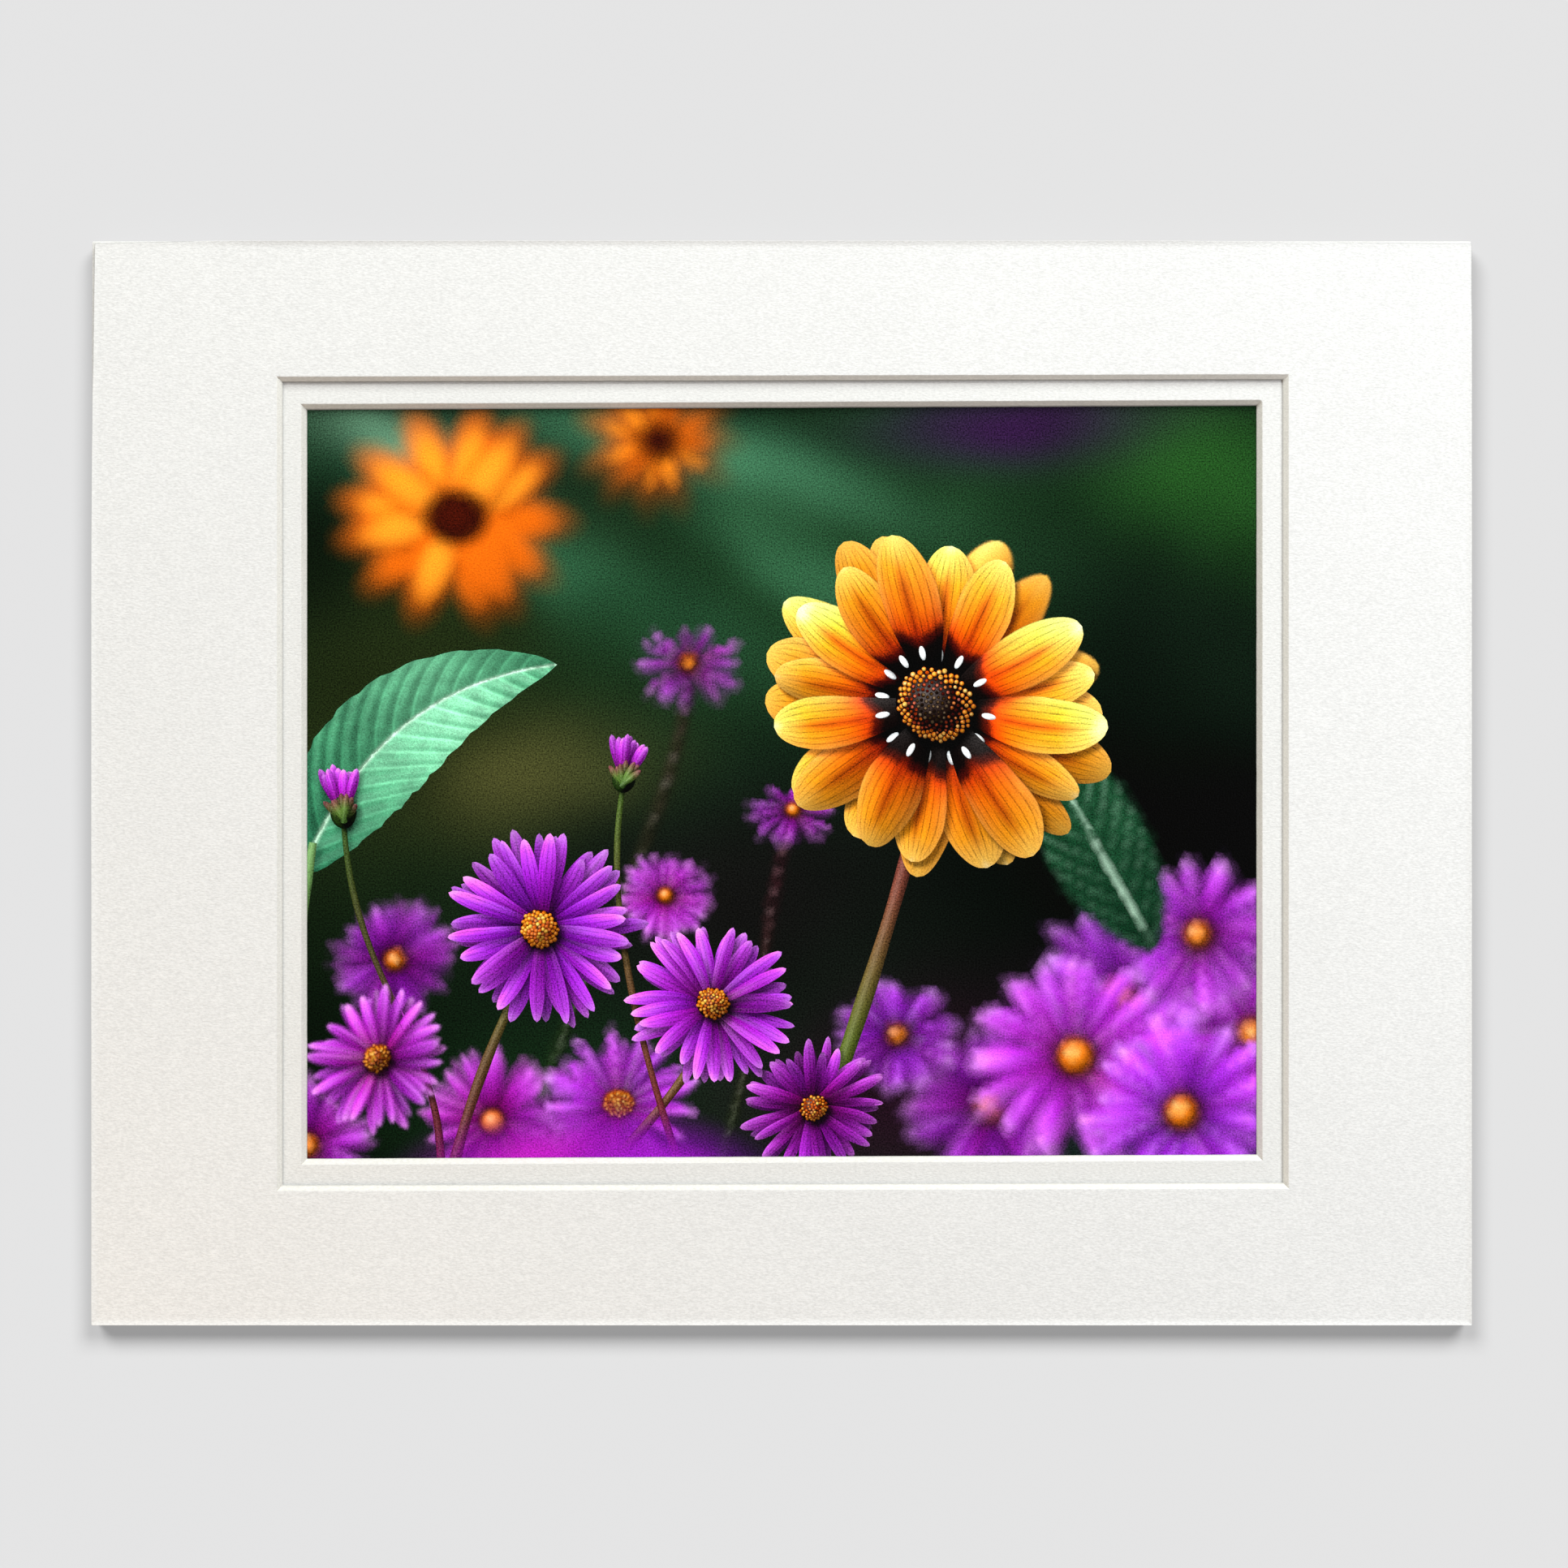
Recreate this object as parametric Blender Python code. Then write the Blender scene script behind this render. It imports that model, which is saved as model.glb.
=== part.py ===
"""Matted photographic print: a backing board, a print, and two window mats with bevelled openings.

The stack lies on its back. +X runs along the long side, +Y to the picture's top and +Z out of the
picture. The origin is under the middle of the stack, where it rests. Units are metres.
"""

import bmesh
import bpy
from mathutils import Vector

# Sheet sizes
board_width = 0.3556        # 14 in: both mats and the backing are cut to one size
board_height = 0.2794       # 11 in
print_width = 0.254         # 10 in
print_height = 0.2032       # 8 in

# Thicknesses
foam_thickness = 0.0048     # 3/16 in foam board
mat_thickness = 0.0014      # 4-ply mat board
print_thickness = 0.0003    # coated photo paper
film_gap = 0.0003           # tape or glue film between two sheets

# Windows, measured at the edge that the eye sees first, on the board's face
outer_window_width = 0.2606
outer_window_height = 0.2100
outer_window_centre = (0.0003, 0.0002)
inner_window_width = 0.2474
inner_window_height = 0.1960
inner_window_centre = (0.0, 0.0006)
bevel_run = mat_thickness   # a 45 degree cut leans in by the board's own thickness

# The backing is pressed in where the print lies, so that the boards meet all round it
print_clearance = 0.0003
print_centre = inner_window_centre

# Heights from the surface that the stack rests on
print_top = foam_thickness
print_bottom = print_top - print_thickness
recess_floor = print_bottom - film_gap
inner_mat_bottom = foam_thickness + film_gap
inner_mat_top = inner_mat_bottom + mat_thickness
outer_mat_bottom = inner_mat_top + film_gap


def clear_scene():
    for old in list(bpy.data.objects):
        bpy.data.objects.remove(old, do_unlink=True)


def make_material(name, colour, roughness, specular=0.5):
    material = bpy.data.materials.new(name)
    material.use_nodes = True
    shader = material.node_tree.nodes["Principled BSDF"]
    shader.inputs["Base Color"].default_value = (*colour, 1.0)
    shader.inputs["Roughness"].default_value = roughness
    shader.inputs["Metallic"].default_value = 0.0
    shader.inputs["Specular IOR Level"].default_value = specular
    material.diffuse_color = (*colour, 1.0)
    return material


def rectangle(width, height, centre, level):
    """The corners of a level rectangle, counter-clockwise seen from above."""
    middle = Vector((centre[0], centre[1], level))
    half_x, half_y = width / 2, height / 2
    return [
        middle + Vector((-half_x, -half_y, 0)),
        middle + Vector((half_x, -half_y, 0)),
        middle + Vector((half_x, half_y, 0)),
        middle + Vector((-half_x, half_y, 0)),
    ]


def join_rings(bm, lower, upper):
    """Quads between two rings of four corners."""
    for i in range(4):
        j = (i + 1) % 4
        bm.faces.new((lower[i], lower[j], upper[j], upper[i]))


def add_object(bm, name, material):
    bmesh.ops.recalc_face_normals(bm, faces=bm.faces)
    mesh = bpy.data.meshes.new(name)
    bm.to_mesh(mesh)
    bm.free()
    mesh.materials.append(material)
    made = bpy.data.objects.new(name, mesh)
    bpy.context.scene.collection.objects.link(made)
    return made


def window_mat(name, window_width, window_height, window_centre, bottom, material):
    """A board with a bevelled opening: wide at its face, narrower at its foot."""
    top = bottom + mat_thickness
    foot_width = window_width - 2 * bevel_run
    foot_height = window_height - 2 * bevel_run
    section = (
        (board_width, board_height, (0, 0), bottom),
        (board_width, board_height, (0, 0), top),
        (window_width, window_height, window_centre, top),
        (foot_width, foot_height, window_centre, bottom),
    )
    bm = bmesh.new()
    rings = [[bm.verts.new(corner) for corner in rectangle(*step)] for step in section]
    for k, ring in enumerate(rings):
        join_rings(bm, ring, rings[(k + 1) % len(rings)])
    return add_object(bm, name, material)


def backing_board(name, material):
    """A foam board with a shallow recess where the print lies."""
    recess_width = print_width + 2 * print_clearance
    recess_height = print_height + 2 * print_clearance
    section = (
        (board_width, board_height, (0, 0), 0),
        (board_width, board_height, (0, 0), foam_thickness),
        (recess_width, recess_height, print_centre, foam_thickness),
        (recess_width, recess_height, print_centre, recess_floor),
    )
    bm = bmesh.new()
    rings = [[bm.verts.new(corner) for corner in rectangle(*step)] for step in section]
    for lower, upper in zip(rings, rings[1:]):
        join_rings(bm, lower, upper)
    bm.faces.new(rings[0])
    bm.faces.new(rings[-1])
    return add_object(bm, name, material)


def paper_sheet(name, material):
    """The print: one flat sheet, wider than the opening that shows it."""
    bm = bmesh.new()
    lower = [bm.verts.new(c) for c in rectangle(print_width, print_height, print_centre, print_bottom)]
    upper = [bm.verts.new(c) for c in rectangle(print_width, print_height, print_centre, print_top)]
    join_rings(bm, lower, upper)
    bm.faces.new(lower)
    bm.faces.new(upper)
    return add_object(bm, name, material)


def main():
    clear_scene()

    white_board = make_material("white_mat_board", (0.86, 0.85, 0.82), 0.85, 0.3)
    cream_board = make_material("off_white_mat_board", (0.84, 0.83, 0.80), 0.85, 0.3)
    photo_paper = make_material("lustre_photo_paper", (0.05, 0.10, 0.05), 0.4)
    foam_board = make_material("foam_board", (0.85, 0.85, 0.84), 0.7, 0.3)

    backing_board("backing_board", foam_board)
    paper_sheet("photo_print", photo_paper)
    window_mat(
        "inner_mat", inner_window_width, inner_window_height, inner_window_centre,
        inner_mat_bottom, cream_board,
    )
    window_mat(
        "outer_mat", outer_window_width, outer_window_height, outer_window_centre,
        outer_mat_bottom, white_board,
    )


main()
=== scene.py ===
# Matted photographic print: a garden close-up behind two bevelled window mats, on a foam backing.
# The stack lies on its back: x runs along the long side, y to the picture's top, z out of it.
import math

import bpy
import numpy as np
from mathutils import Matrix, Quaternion, Vector
from mathutils.geometry import delaunay_2d_cdt


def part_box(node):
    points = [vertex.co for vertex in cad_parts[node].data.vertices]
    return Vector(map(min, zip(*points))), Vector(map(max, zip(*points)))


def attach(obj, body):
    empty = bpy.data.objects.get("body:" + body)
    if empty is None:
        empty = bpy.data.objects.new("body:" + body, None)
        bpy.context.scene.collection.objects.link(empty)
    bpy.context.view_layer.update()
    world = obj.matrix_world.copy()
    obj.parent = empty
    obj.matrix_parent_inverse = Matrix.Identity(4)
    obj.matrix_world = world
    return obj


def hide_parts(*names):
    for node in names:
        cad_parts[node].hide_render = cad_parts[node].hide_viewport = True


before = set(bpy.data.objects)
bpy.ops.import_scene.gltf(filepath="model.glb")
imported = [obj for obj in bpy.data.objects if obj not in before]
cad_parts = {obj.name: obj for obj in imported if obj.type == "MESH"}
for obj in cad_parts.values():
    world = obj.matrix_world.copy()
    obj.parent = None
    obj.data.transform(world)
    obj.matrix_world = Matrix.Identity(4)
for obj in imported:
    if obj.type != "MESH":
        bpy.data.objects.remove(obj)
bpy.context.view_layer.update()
mm = 0.001
sharpAngle = 35      # degrees; edges bent by more than this stay crisp


# Small tools

def hexToLinear(text):
    # sRGB hex to the linear values that the shader works in
    channels = [int(text[i:i + 2], 16) / 255 for i in (1, 3, 5)]
    return [c / 12.92 if c <= 0.04045 else ((c + 0.055) / 1.055) ** 2.4 for c in channels]


def fillNode(tree, node, settings=None, links=None):
    # inputs go by name or number, other settings by name; a link from a node takes its first output
    for key, value in (settings or {}).items():
        if isinstance(key, int) or key in node.inputs:
            node.inputs[key].default_value = value
        else:
            setattr(node, key, value)
    for key, source in (links or {}).items():
        if isinstance(source, bpy.types.Node):
            source = source.outputs[0]
        tree.links.new(source, node.inputs[key])
    return node


def addNode(tree, kind, settings=None, links=None):
    return fillNode(tree, tree.nodes.new("ShaderNode" + kind), settings, links)


def newMaterial(name):
    material = bpy.data.materials.new(name)
    material.use_nodes = True
    return material, material.node_tree, material.node_tree.nodes["Principled BSDF"]


def smooth(edge0, edge1, x):
    t = np.clip((x - edge0) / (edge1 - edge0), 0.0, 1.0)
    return t * t * (3 - 2 * t)


def wayAt(degrees):
    turn = math.radians(degrees)
    return np.array([math.cos(turn), math.sin(turn)])


noiseTables = {}


def valueNoise(x, y, seed):
    # smooth noise from 0 to 1, one bump for each unit of x and y
    if seed not in noiseTables:
        noiseTables[seed] = np.random.default_rng(seed).random((256, 256))
    table = noiseTables[seed]
    x, y = np.asarray(x, float), np.asarray(y, float)
    xi, yi = np.floor(x).astype(int), np.floor(y).astype(int)
    tx, ty = x - xi, y - yi
    tx, ty = tx * tx * (3 - 2 * tx), ty * ty * (3 - 2 * ty)
    a, b = table[yi % 256, xi % 256], table[yi % 256, (xi + 1) % 256]
    c, d = table[(yi + 1) % 256, xi % 256], table[(yi + 1) % 256, (xi + 1) % 256]
    return (a * (1 - tx) + b * tx) * (1 - ty) + (c * (1 - tx) + d * tx) * ty


def layeredNoise(x, y, seed):
    # a second layer, twice as fine and half as strong
    return (valueNoise(x, y, seed) + 0.5 * valueNoise(x * 2, y * 2, seed + 1)) / 1.5


def finishPiece(name, vertices, faces, material, replaced, values=None, corners=None):
    # vertices in millimetres; values and corners are what the material reads at each vertex or face corner
    mesh = bpy.data.meshes.new(name)
    mesh.from_pydata((np.asarray(vertices) * mm).tolist(), [], faces)
    for key, numbers in (values or {}).items():
        layer = mesh.attributes.new(key, "FLOAT", "POINT")
        layer.data.foreach_set("value", np.asarray(numbers, np.float32))
    for key, (kind, field, numbers) in (corners or {}).items():
        layer = mesh.attributes.new(key, kind, "CORNER")
        layer.data.foreach_set(field, np.asarray(numbers, np.float32).ravel())
    mesh.validate()
    mesh.shade_smooth()
    mesh.set_sharp_from_angle(angle=math.radians(sharpAngle))
    mesh.materials.append(material)
    piece = bpy.data.objects.new(name, mesh)
    bpy.context.scene.collection.objects.link(piece)
    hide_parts(replaced)
    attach(piece, "root")
    return piece


# Places that the frame gives, in millimetres

def boxInMm(node):
    low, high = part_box(node)
    return np.array(low) / mm, np.array(high) / mm


boardLow, boardHigh = boxInMm("outer_mat")
boardHalf = (boardHigh - boardLow)[:2] / 2
printLow, printHigh = boxInMm("photo_print")
printMiddle = (printLow + printHigh)[:2] / 2
printSize = (printHigh - printLow)[:2]


# Boards are swept: one cross-section goes round the sheet through a set of matching rings

sweep = {
    "longSteps": 150,   # points along a long side, one every 2.4 mm
    "shortSteps": 118,
    "cornerSteps": 4,
}


def sheetRing(half, middle, radius):
    # points round a rectangle, anticlockwise from its lower right corner; one radius, or one for each corner
    corners = ((1, -1, -90), (1, 1, 0), (-1, 1, 90), (-1, -1, 180))
    radii = np.broadcast_to(radius, 4)

    def onCorner(k, turn):
        return np.array(corners[k][:2]) * (np.asarray(half) - radii[k]) + radii[k] * wayAt(turn)

    points = []
    for k in range(4):
        for i in range(sweep["cornerSteps"] + 1):
            points.append(onCorner(k, corners[k][2] + 90 * i / sweep["cornerSteps"]))
        following = (k + 1) % 4
        origin, target = points[-1], onCorner(following, corners[following][2])
        count = sweep["shortSteps"] if k % 2 == 0 else sweep["longSteps"]
        points += [origin + (target - origin) * i / count for i in range(1, count)]
    return np.array(points) + np.asarray(middle)


def outwardNormals(ring):
    ahead = np.roll(ring, -1, axis=0) - np.roll(ring, 1, axis=0)
    normals = np.stack([ahead[:, 1], -ahead[:, 0]], axis=1)
    return normals / np.maximum(np.linalg.norm(normals, axis=1, keepdims=True), 1e-9)


def ringPath(ring):
    lengths = np.linalg.norm(np.roll(ring, -1, axis=0) - ring, axis=1)
    return np.concatenate([[0], np.cumsum(lengths)[:-1]])


def joinRings(rings, closed):
    # quads between neighbouring rings; a closed sweep joins the last ring to the first
    count = len(rings[0])
    faces = []
    last = len(rings) if closed else len(rings) - 1
    for r in range(last):
        a, b = r * count, ((r + 1) % len(rings)) * count
        for i in range(count):
            j = (i + 1) % count
            faces.append((a + i, a + j, b + j, b + i))
    return faces


# Mat board: four plies of alpha-cellulose pulp pressed between two papers, cut with a bevel blade.
# The felt side of the surface paper gives a fine tooth; the cut shows the bare white core.

matBoardFinish = {
    # size in mm, detail, roughness, and the darkest and lightest tone
    "tooth": (0.4, 2.0, 0.6, 0.85, 1.025),     # felt marks, a little coarser than real so that they show
    "clump": (1.7, 2.0, 0.5, 0.975, 1.0),      # pulp clumps under them
    "cloud": (38.0, 1.0, 0.5, 0.985, 1.0),     # slow change of tone over the sheet
    "grainStretch": 2.2,    # the marks run a little along the sheet's length
    "toothHigh": 0.1,
    "roughness": 0.88,
    "ior": 1.5,             # cellulose
    "specular": 0.35,
    "plies": 4,
    "plyLine": (0.09, 0.9),         # width as a share of a ply, and tone
    "paintedFootShade": (0.76, 1.3, 0.3),  # depths where the shade at the bevel's foot starts and ends, and its tone
}


def matBoard(name, faceHex, coreHex, seed):
    finish = matBoardFinish
    material, tree, shader = newMaterial(name)
    place = addNode(tree, "TexCoord").outputs["Object"]
    grain = addNode(tree, "Mapping", {"Scale": (1 / finish["grainStretch"], 1, 1), "Location": (seed, 0, 0)},
                    {"Vector": place})

    # the cut shows the core, with a faint line where two plies meet; where depth runs high, at the foot of
    # every cut and at the outer edge beside the board below, the tone is darkened as painted shade
    cut = addNode(tree, "Attribute", {"attribute_name": "cut"}).outputs["Fac"]
    depth = addNode(tree, "Attribute", {"attribute_name": "depth"}).outputs["Fac"]
    plies = addNode(tree, "Math", {"operation": "MULTIPLY", 1: finish["plies"]}, {0: depth})
    within = addNode(tree, "Math", {"operation": "PINGPONG", 1: 0.5}, {0: plies})
    lineWidth, lineTone = finish["plyLine"]
    plyLine = addNode(tree, "MapRange", {"From Min": 0.0, "From Max": lineWidth, "To Min": lineTone,
                                         "To Max": 1.0}, {"Value": within})
    tone = addNode(tree, "Mix", {"data_type": "FLOAT", 2: 1.0}, {0: cut, 3: plyLine})
    start, end, shade = finish["paintedFootShade"]
    foot = addNode(tree, "MapRange", {"From Min": start, "From Max": end, "To Min": 1.0, "To Max": shade},
                   {"Value": depth})
    tone = addNode(tree, "Math", {"operation": "MULTIPLY"}, {0: tone, 1: foot})

    # tooth, clumps and clouds each darken the paper by a few hundredths
    marks = {}
    for kind, vector in (("tooth", grain), ("clump", grain), ("cloud", place)):
        size, detail, rough, dark, light = finish[kind]
        marks[kind] = addNode(tree, "TexNoise", {"Scale": 1 / (size * mm), "Detail": detail,
                                                 "Roughness": rough}, {"Vector": vector})
        share = addNode(tree, "MapRange", {"From Min": 0.3, "From Max": 0.7, "To Min": dark, "To Max": light},
                        {"Value": marks[kind]})
        tone = addNode(tree, "Math", {"operation": "MULTIPLY"}, {0: tone, 1: share})

    colour = addNode(tree, "Mix", {"data_type": "RGBA", 6: (*hexToLinear(faceHex), 1),
                                   7: (*hexToLinear(coreHex), 1)}, {0: cut}).outputs[2]
    toned = addNode(tree, "VectorMath", {"operation": "SCALE"}, {0: colour, "Scale": tone})
    bump = addNode(tree, "Bump", {"Strength": 0.65, "Distance": finish["toothHigh"] * mm},
                   {"Height": marks["tooth"]})
    fillNode(tree, shader, {"Roughness": finish["roughness"], "IOR": finish["ior"],
                            "Specular IOR Level": finish["specular"]}, {"Base Color": toned, "Normal": bump})
    return material


# The two window mats

windowMat = {
    "filmSettle": 0.07,      # the glue film is thinner than the space that the solids leave for it
    "lipHeight": 0.27,       # the guillotine raises a burr along the outer edge
    "lipWidth": 1.7,
    "lipCurve": 1.8,
    "rimRadius": 0.06,       # crushed fibres along a cut edge
    "cutWave": 0.035,        # the blade wanders by this much
    "warp": 0.09,            # the sheet isn't quite flat
    "cornerRadius": 0.25,    # outer corners are a little blunted by handling
    "windowCorner": 0.1,
    "overcutRun": 1.5,       # how far from the window an overcut or a blunt corner shows
    "fallRun": 6.5,          # how far from its window a sheet falls
    "faceRings": (0.15, 0.3, 0.55, 0.8, 1.1, 1.4, 1.7, 2.2, 4.0, 8.0, 14.0),
}


def sheetWarp(x, y):
    return windowMat["warp"] * layeredNoise(x / 70 + 9.3, y / 70 + 4.1, 11)


def edgeWave(path, seed, scale=1.0):
    wander = valueNoise(path / 5.5, path * 0 + 0.5, seed) - 0.5
    chatter = valueNoise(path / 1.9, path * 0 + 7.5, seed + 3) - 0.5
    return windowMat["cutWave"] * scale * (1.4 * wander + 0.6 * chatter)


# Each window sits a little askew in its board. The blade ran past some corners, and left one blunt.
# Corners go lower right, upper right, upper left, lower left.

outerWindow = {
    "slope": 0.0024,         # rise of its long sides towards the right
    "shift": (0.0, -0.1),
    "grow": (0.0, -0.15),
    "fall": 0.0,
    "blunt": (0, 0, 0, 0),
    "overcut": ((0.16, -0.1), (0, 0), (-0.1, 0.1), (-0.18, -0.1)),
}
innerWindow = {
    "slope": 0.0044,
    "shift": (0.05, -0.4),
    "grow": (0.25, 0.05),
    "fall": 0.18,            # the print under it lifts the window's edge
    "blunt": (0, 0.75, 0, 0),
    "overcut": ((0.1, -0.05), (0, 0), (-0.24, 0.15), (-0.2, -0.12)),
}


cornerCuts = {               # depth in mm, reach as a share of the side, and curve
    "leftSide": (0.85, 0.35, 2),
    "topLeft": (0.6, 0.09, 1.2),
    "topRight": (0.75, 0.22, 1.2),
    "fade": 0.12,            # share of the sheet over which a cut fades inward
}


def outerMatTrim(ring):
    # the outer mat's top corners are cut back by up to 0.8 mm, so that the board below shows there
    def cut(name, away):
        deep, reach, curve = cornerCuts[name]
        return deep * np.clip(1 - away / reach, 0, 1) ** curve

    fromTop = (boardHalf[1] - ring[:, 1]) / (2 * boardHalf[1])
    fromLeft = (ring[:, 0] + boardHalf[0]) / (2 * boardHalf[0])
    nearLeft, nearTop = (np.clip(1 - away / cornerCuts["fade"], 0, 1) for away in (fromLeft, fromTop))
    moved = ring.copy()
    moved[:, 0] += cut("leftSide", fromTop) * nearLeft
    moved[:, 1] -= (cut("topLeft", fromLeft) + cut("topRight", 1 - fromLeft)) * nearTop
    return moved


def windowOf(node):
    # the opening's edge on the board's face, read from the solid: the highest points off the outline
    high = boxInMm(node)[1]
    points = np.array([v.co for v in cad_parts[node].data.vertices]) / mm
    inside = (np.abs(points[:, 0]) < high[0] - 1) & (points[:, 2] > high[2] - 0.01)
    edge = points[inside]
    lowest, highest = edge.min(axis=0), edge.max(axis=0)
    return (highest - lowest)[:2] / 2, (highest + lowest)[:2] / 2


def makeWindowMat(name, node, material, lip, trim, window, seed):
    low, high = boxInMm(node)
    half, middle = windowOf(node)
    radius = windowMat["rimRadius"]
    bottom = low[2] - windowMat["filmSettle"]
    lipHeight = windowMat["lipHeight"] if lip else 0.0
    field = high[2] - 0.01 - lipHeight
    thickness = field - bottom
    bevelRun = high[2] - low[2]
    corner = windowMat["cornerRadius"]
    outlineHalf = boardHalf - 0.02 - windowMat["cutWave"]   # keeps the wavering cut inside the outline

    # how far the cut edges stray from straight lines
    straight = sheetRing(outlineHalf, (0, 0), corner)
    stray = outwardNormals(straight) * edgeWave(ringPath(straight), seed)[:, None]
    trimmed = trim(straight) - straight if trim else np.zeros_like(straight)
    stray += trimmed
    bared = np.clip(np.linalg.norm(trimmed, axis=1) / 0.4, 0, 1)     # 1 where the board below shows beside it
    askew = np.array([[1.0, window["slope"]], [0.0, 1.0]])
    half = half + np.array(window["grow"])
    windowStraight = sheetRing(half, (0, 0), windowMat["windowCorner"])
    windowOut = outwardNormals(windowStraight)
    windowPath = ringPath(windowStraight)
    faceStray = windowOut * edgeWave(windowPath, seed + 20)[:, None]
    footStray = windowOut * edgeWave(windowPath, seed + 40, 1.3)[:, None]
    # the upper bevel's foot is painted with a deeper shade than the others
    shaded = np.clip(windowOut[:, 1], 0, 1)      # the upper bevel's foot lies in the deepest shade
    overcut = np.zeros_like(windowStraight)
    for way, reach in zip(((1, -1), (1, 1), (-1, 1), (-1, -1)), window["overcut"]):
        tip = int(np.argmax(windowStraight @ way))
        for step, share in ((-1, 0.5), (0, 1.0), (1, 0.5)):
            overcut[(tip + step) % len(overcut)] += share * np.array(reach)

    def outerRing(inset, fade=1.0):
        return sheetRing(outlineHalf - inset, (0, 0), max(corner - inset, 0.02)) + stray * fade

    def windowRing(inset, run=0.0):
        near = (1 - run) * min(1.0, max(0.0, 1 + inset / windowMat["overcutRun"]))   # 1 at the face's edge
        radii = windowMat["windowCorner"] + np.array(window["blunt"]) * near
        ring = sheetRing(half - inset, (0, 0), radii)
        ring = ring + faceStray * (1 - run) + footStray * run + overcut * near
        return ring @ askew + middle + np.array(window["shift"])

    rings, heights, cuts, depths = [], [], [], []

    def addRing(points, height, cut, depth):
        rings.append(points)
        for store, value in ((heights, height), (cuts, cut), (depths, depth)):
            store.append(np.broadcast_to(value, len(points)))

    def faceHeight(distance):
        rise = max(0.0, 1 - distance / windowMat["lipWidth"])
        return field + lipHeight * (1 - 0.8 * bared) * rise ** windowMat["lipCurve"]

    def bevelDepthAndShade(run):
        # extra depth at the foot of an upper bevel deepens its painted shade
        return run + 0.33 * shaded * smooth(0.6, 1.0, run)

    # up the outer side, from the underside to the face
    addRing(outerRing(radius), bottom, 1, 1)
    addRing(outerRing(0), bottom + radius, 1, 0.96)
    for k in range(1, matBoardFinish["plies"]):
        share = k / matBoardFinish["plies"]
        addRing(outerRing(0.012), bottom + thickness * share, 1, 1 - share)
    # where the board below shows beside it, these depths darken the edge and the face's rim: a painted shade
    # line
    addRing(outerRing(0), faceHeight(0) - radius * 1.2, 1, np.maximum(bared, 0.06))
    addRing(outerRing(radius * 0.35), faceHeight(0) - radius * 0.3, 0.6, np.maximum(bared, 0.02))
    addRing(outerRing(radius), faceHeight(radius), 0, bared)
    for distance in windowMat["faceRings"]:
        addRing(outerRing(distance, 1 - distance / 20), faceHeight(distance), 0, bared * (distance < 0.2))

    # across the face to the window, then over its edge and down the bevel
    start = rings[-1]
    for share in (0.5, 0.75, 0.9):
        addRing(start * (1 - share) + windowRing(-windowMat["fallRun"]) * share, field, 0, 0)
    for distance in (windowMat["fallRun"], 1.5, 0.6, 0.15):
        addRing(windowRing(-distance), field, 0, 0)
    addRing(windowRing(-radius * 0.5), field - radius * 0.1, 0.15, 0)
    addRing(windowRing(radius * 0.3), field - radius * 0.55, 0.9, 0.04)
    for share in (0.2, 0.4, 0.6, 0.72, 0.84):
        hollow = 0.012 * math.sin(math.pi * share)      # the blade bows a little in the cut
        addRing(windowRing(bevelRun * share, share), field - thickness * share - hollow, 1, bevelDepthAndShade(share))
    addRing(windowRing(bevelRun, 1), bottom + radius * 0.8, 1, bevelDepthAndShade(0.98))
    addRing(windowRing(bevelRun - radius * 0.6, 1), bottom, 1, bevelDepthAndShade(1.0))
    # along the underside back to the rim
    for share in (0.1, 0.9):
        addRing(windowRing(bevelRun - radius, 1) * (1 - share) + rings[0] * share, bottom, 0.2, 1)

    flat = np.concatenate(rings)
    away = (np.abs(flat - middle) - half).max(axis=1) / windowMat["fallRun"]
    fallen = window["fall"] * np.clip(away, 0, 1) * (1 - smooth(1.1, 3.0, away))
    level = np.concatenate(heights) - sheetWarp(flat[:, 0], flat[:, 1]) - fallen
    vertices = np.column_stack([flat, np.clip(level, low[2] - 0.28, high[2])])
    faces = joinRings(rings, True)
    values = {"cut": np.concatenate(cuts), "depth": np.concatenate(depths)}
    return finishPiece(name, vertices, faces, material, node, values)


outerBoard = matBoard("outerMatBoard", "#f6f6f5", "#eeece5", 3.0)
# the inner board's face is painted a little darker than the outer's: painted shade on the strip that shows
# round the window
innerBoard = matBoard("innerMatBoard", "#f3f3f1", "#edebe4", 8.0)
outerMat = makeWindowMat("outerMat", "outer_mat", outerBoard, True, outerMatTrim,
                         outerWindow, 31)
innerMat = makeWindowMat("innerMat", "inner_mat", innerBoard, False, None,
                         innerWindow, 57)
print("mats made:", len(outerMat.data.polygons), "and", len(innerMat.data.polygons), "faces")


# Foam board: a polystyrene foam core extruded between two clay-coated kraft liners, knife-cut.
# The liners are smooth and flat white; the cut core shows small open cells.

foamBoardFinish = {
    "linerMm": 0.35,
    "linerHex": "#efeeea",
    "foamHex": "#f4f4f2",
    "cellMm": 0.55,
    "cellPaintedShade": (0.99, 0.86),
    "fibreMm": 0.5,
    "fibreTone": (0.965, 1.0),
    "coreInset": 0.09,      # the knife drags the soft core in behind the liners
    "backRing": 3.0,
    "roughnessLiner": 0.62,
    "roughnessFoam": 0.8,
    "specular": 0.4,
}


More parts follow.
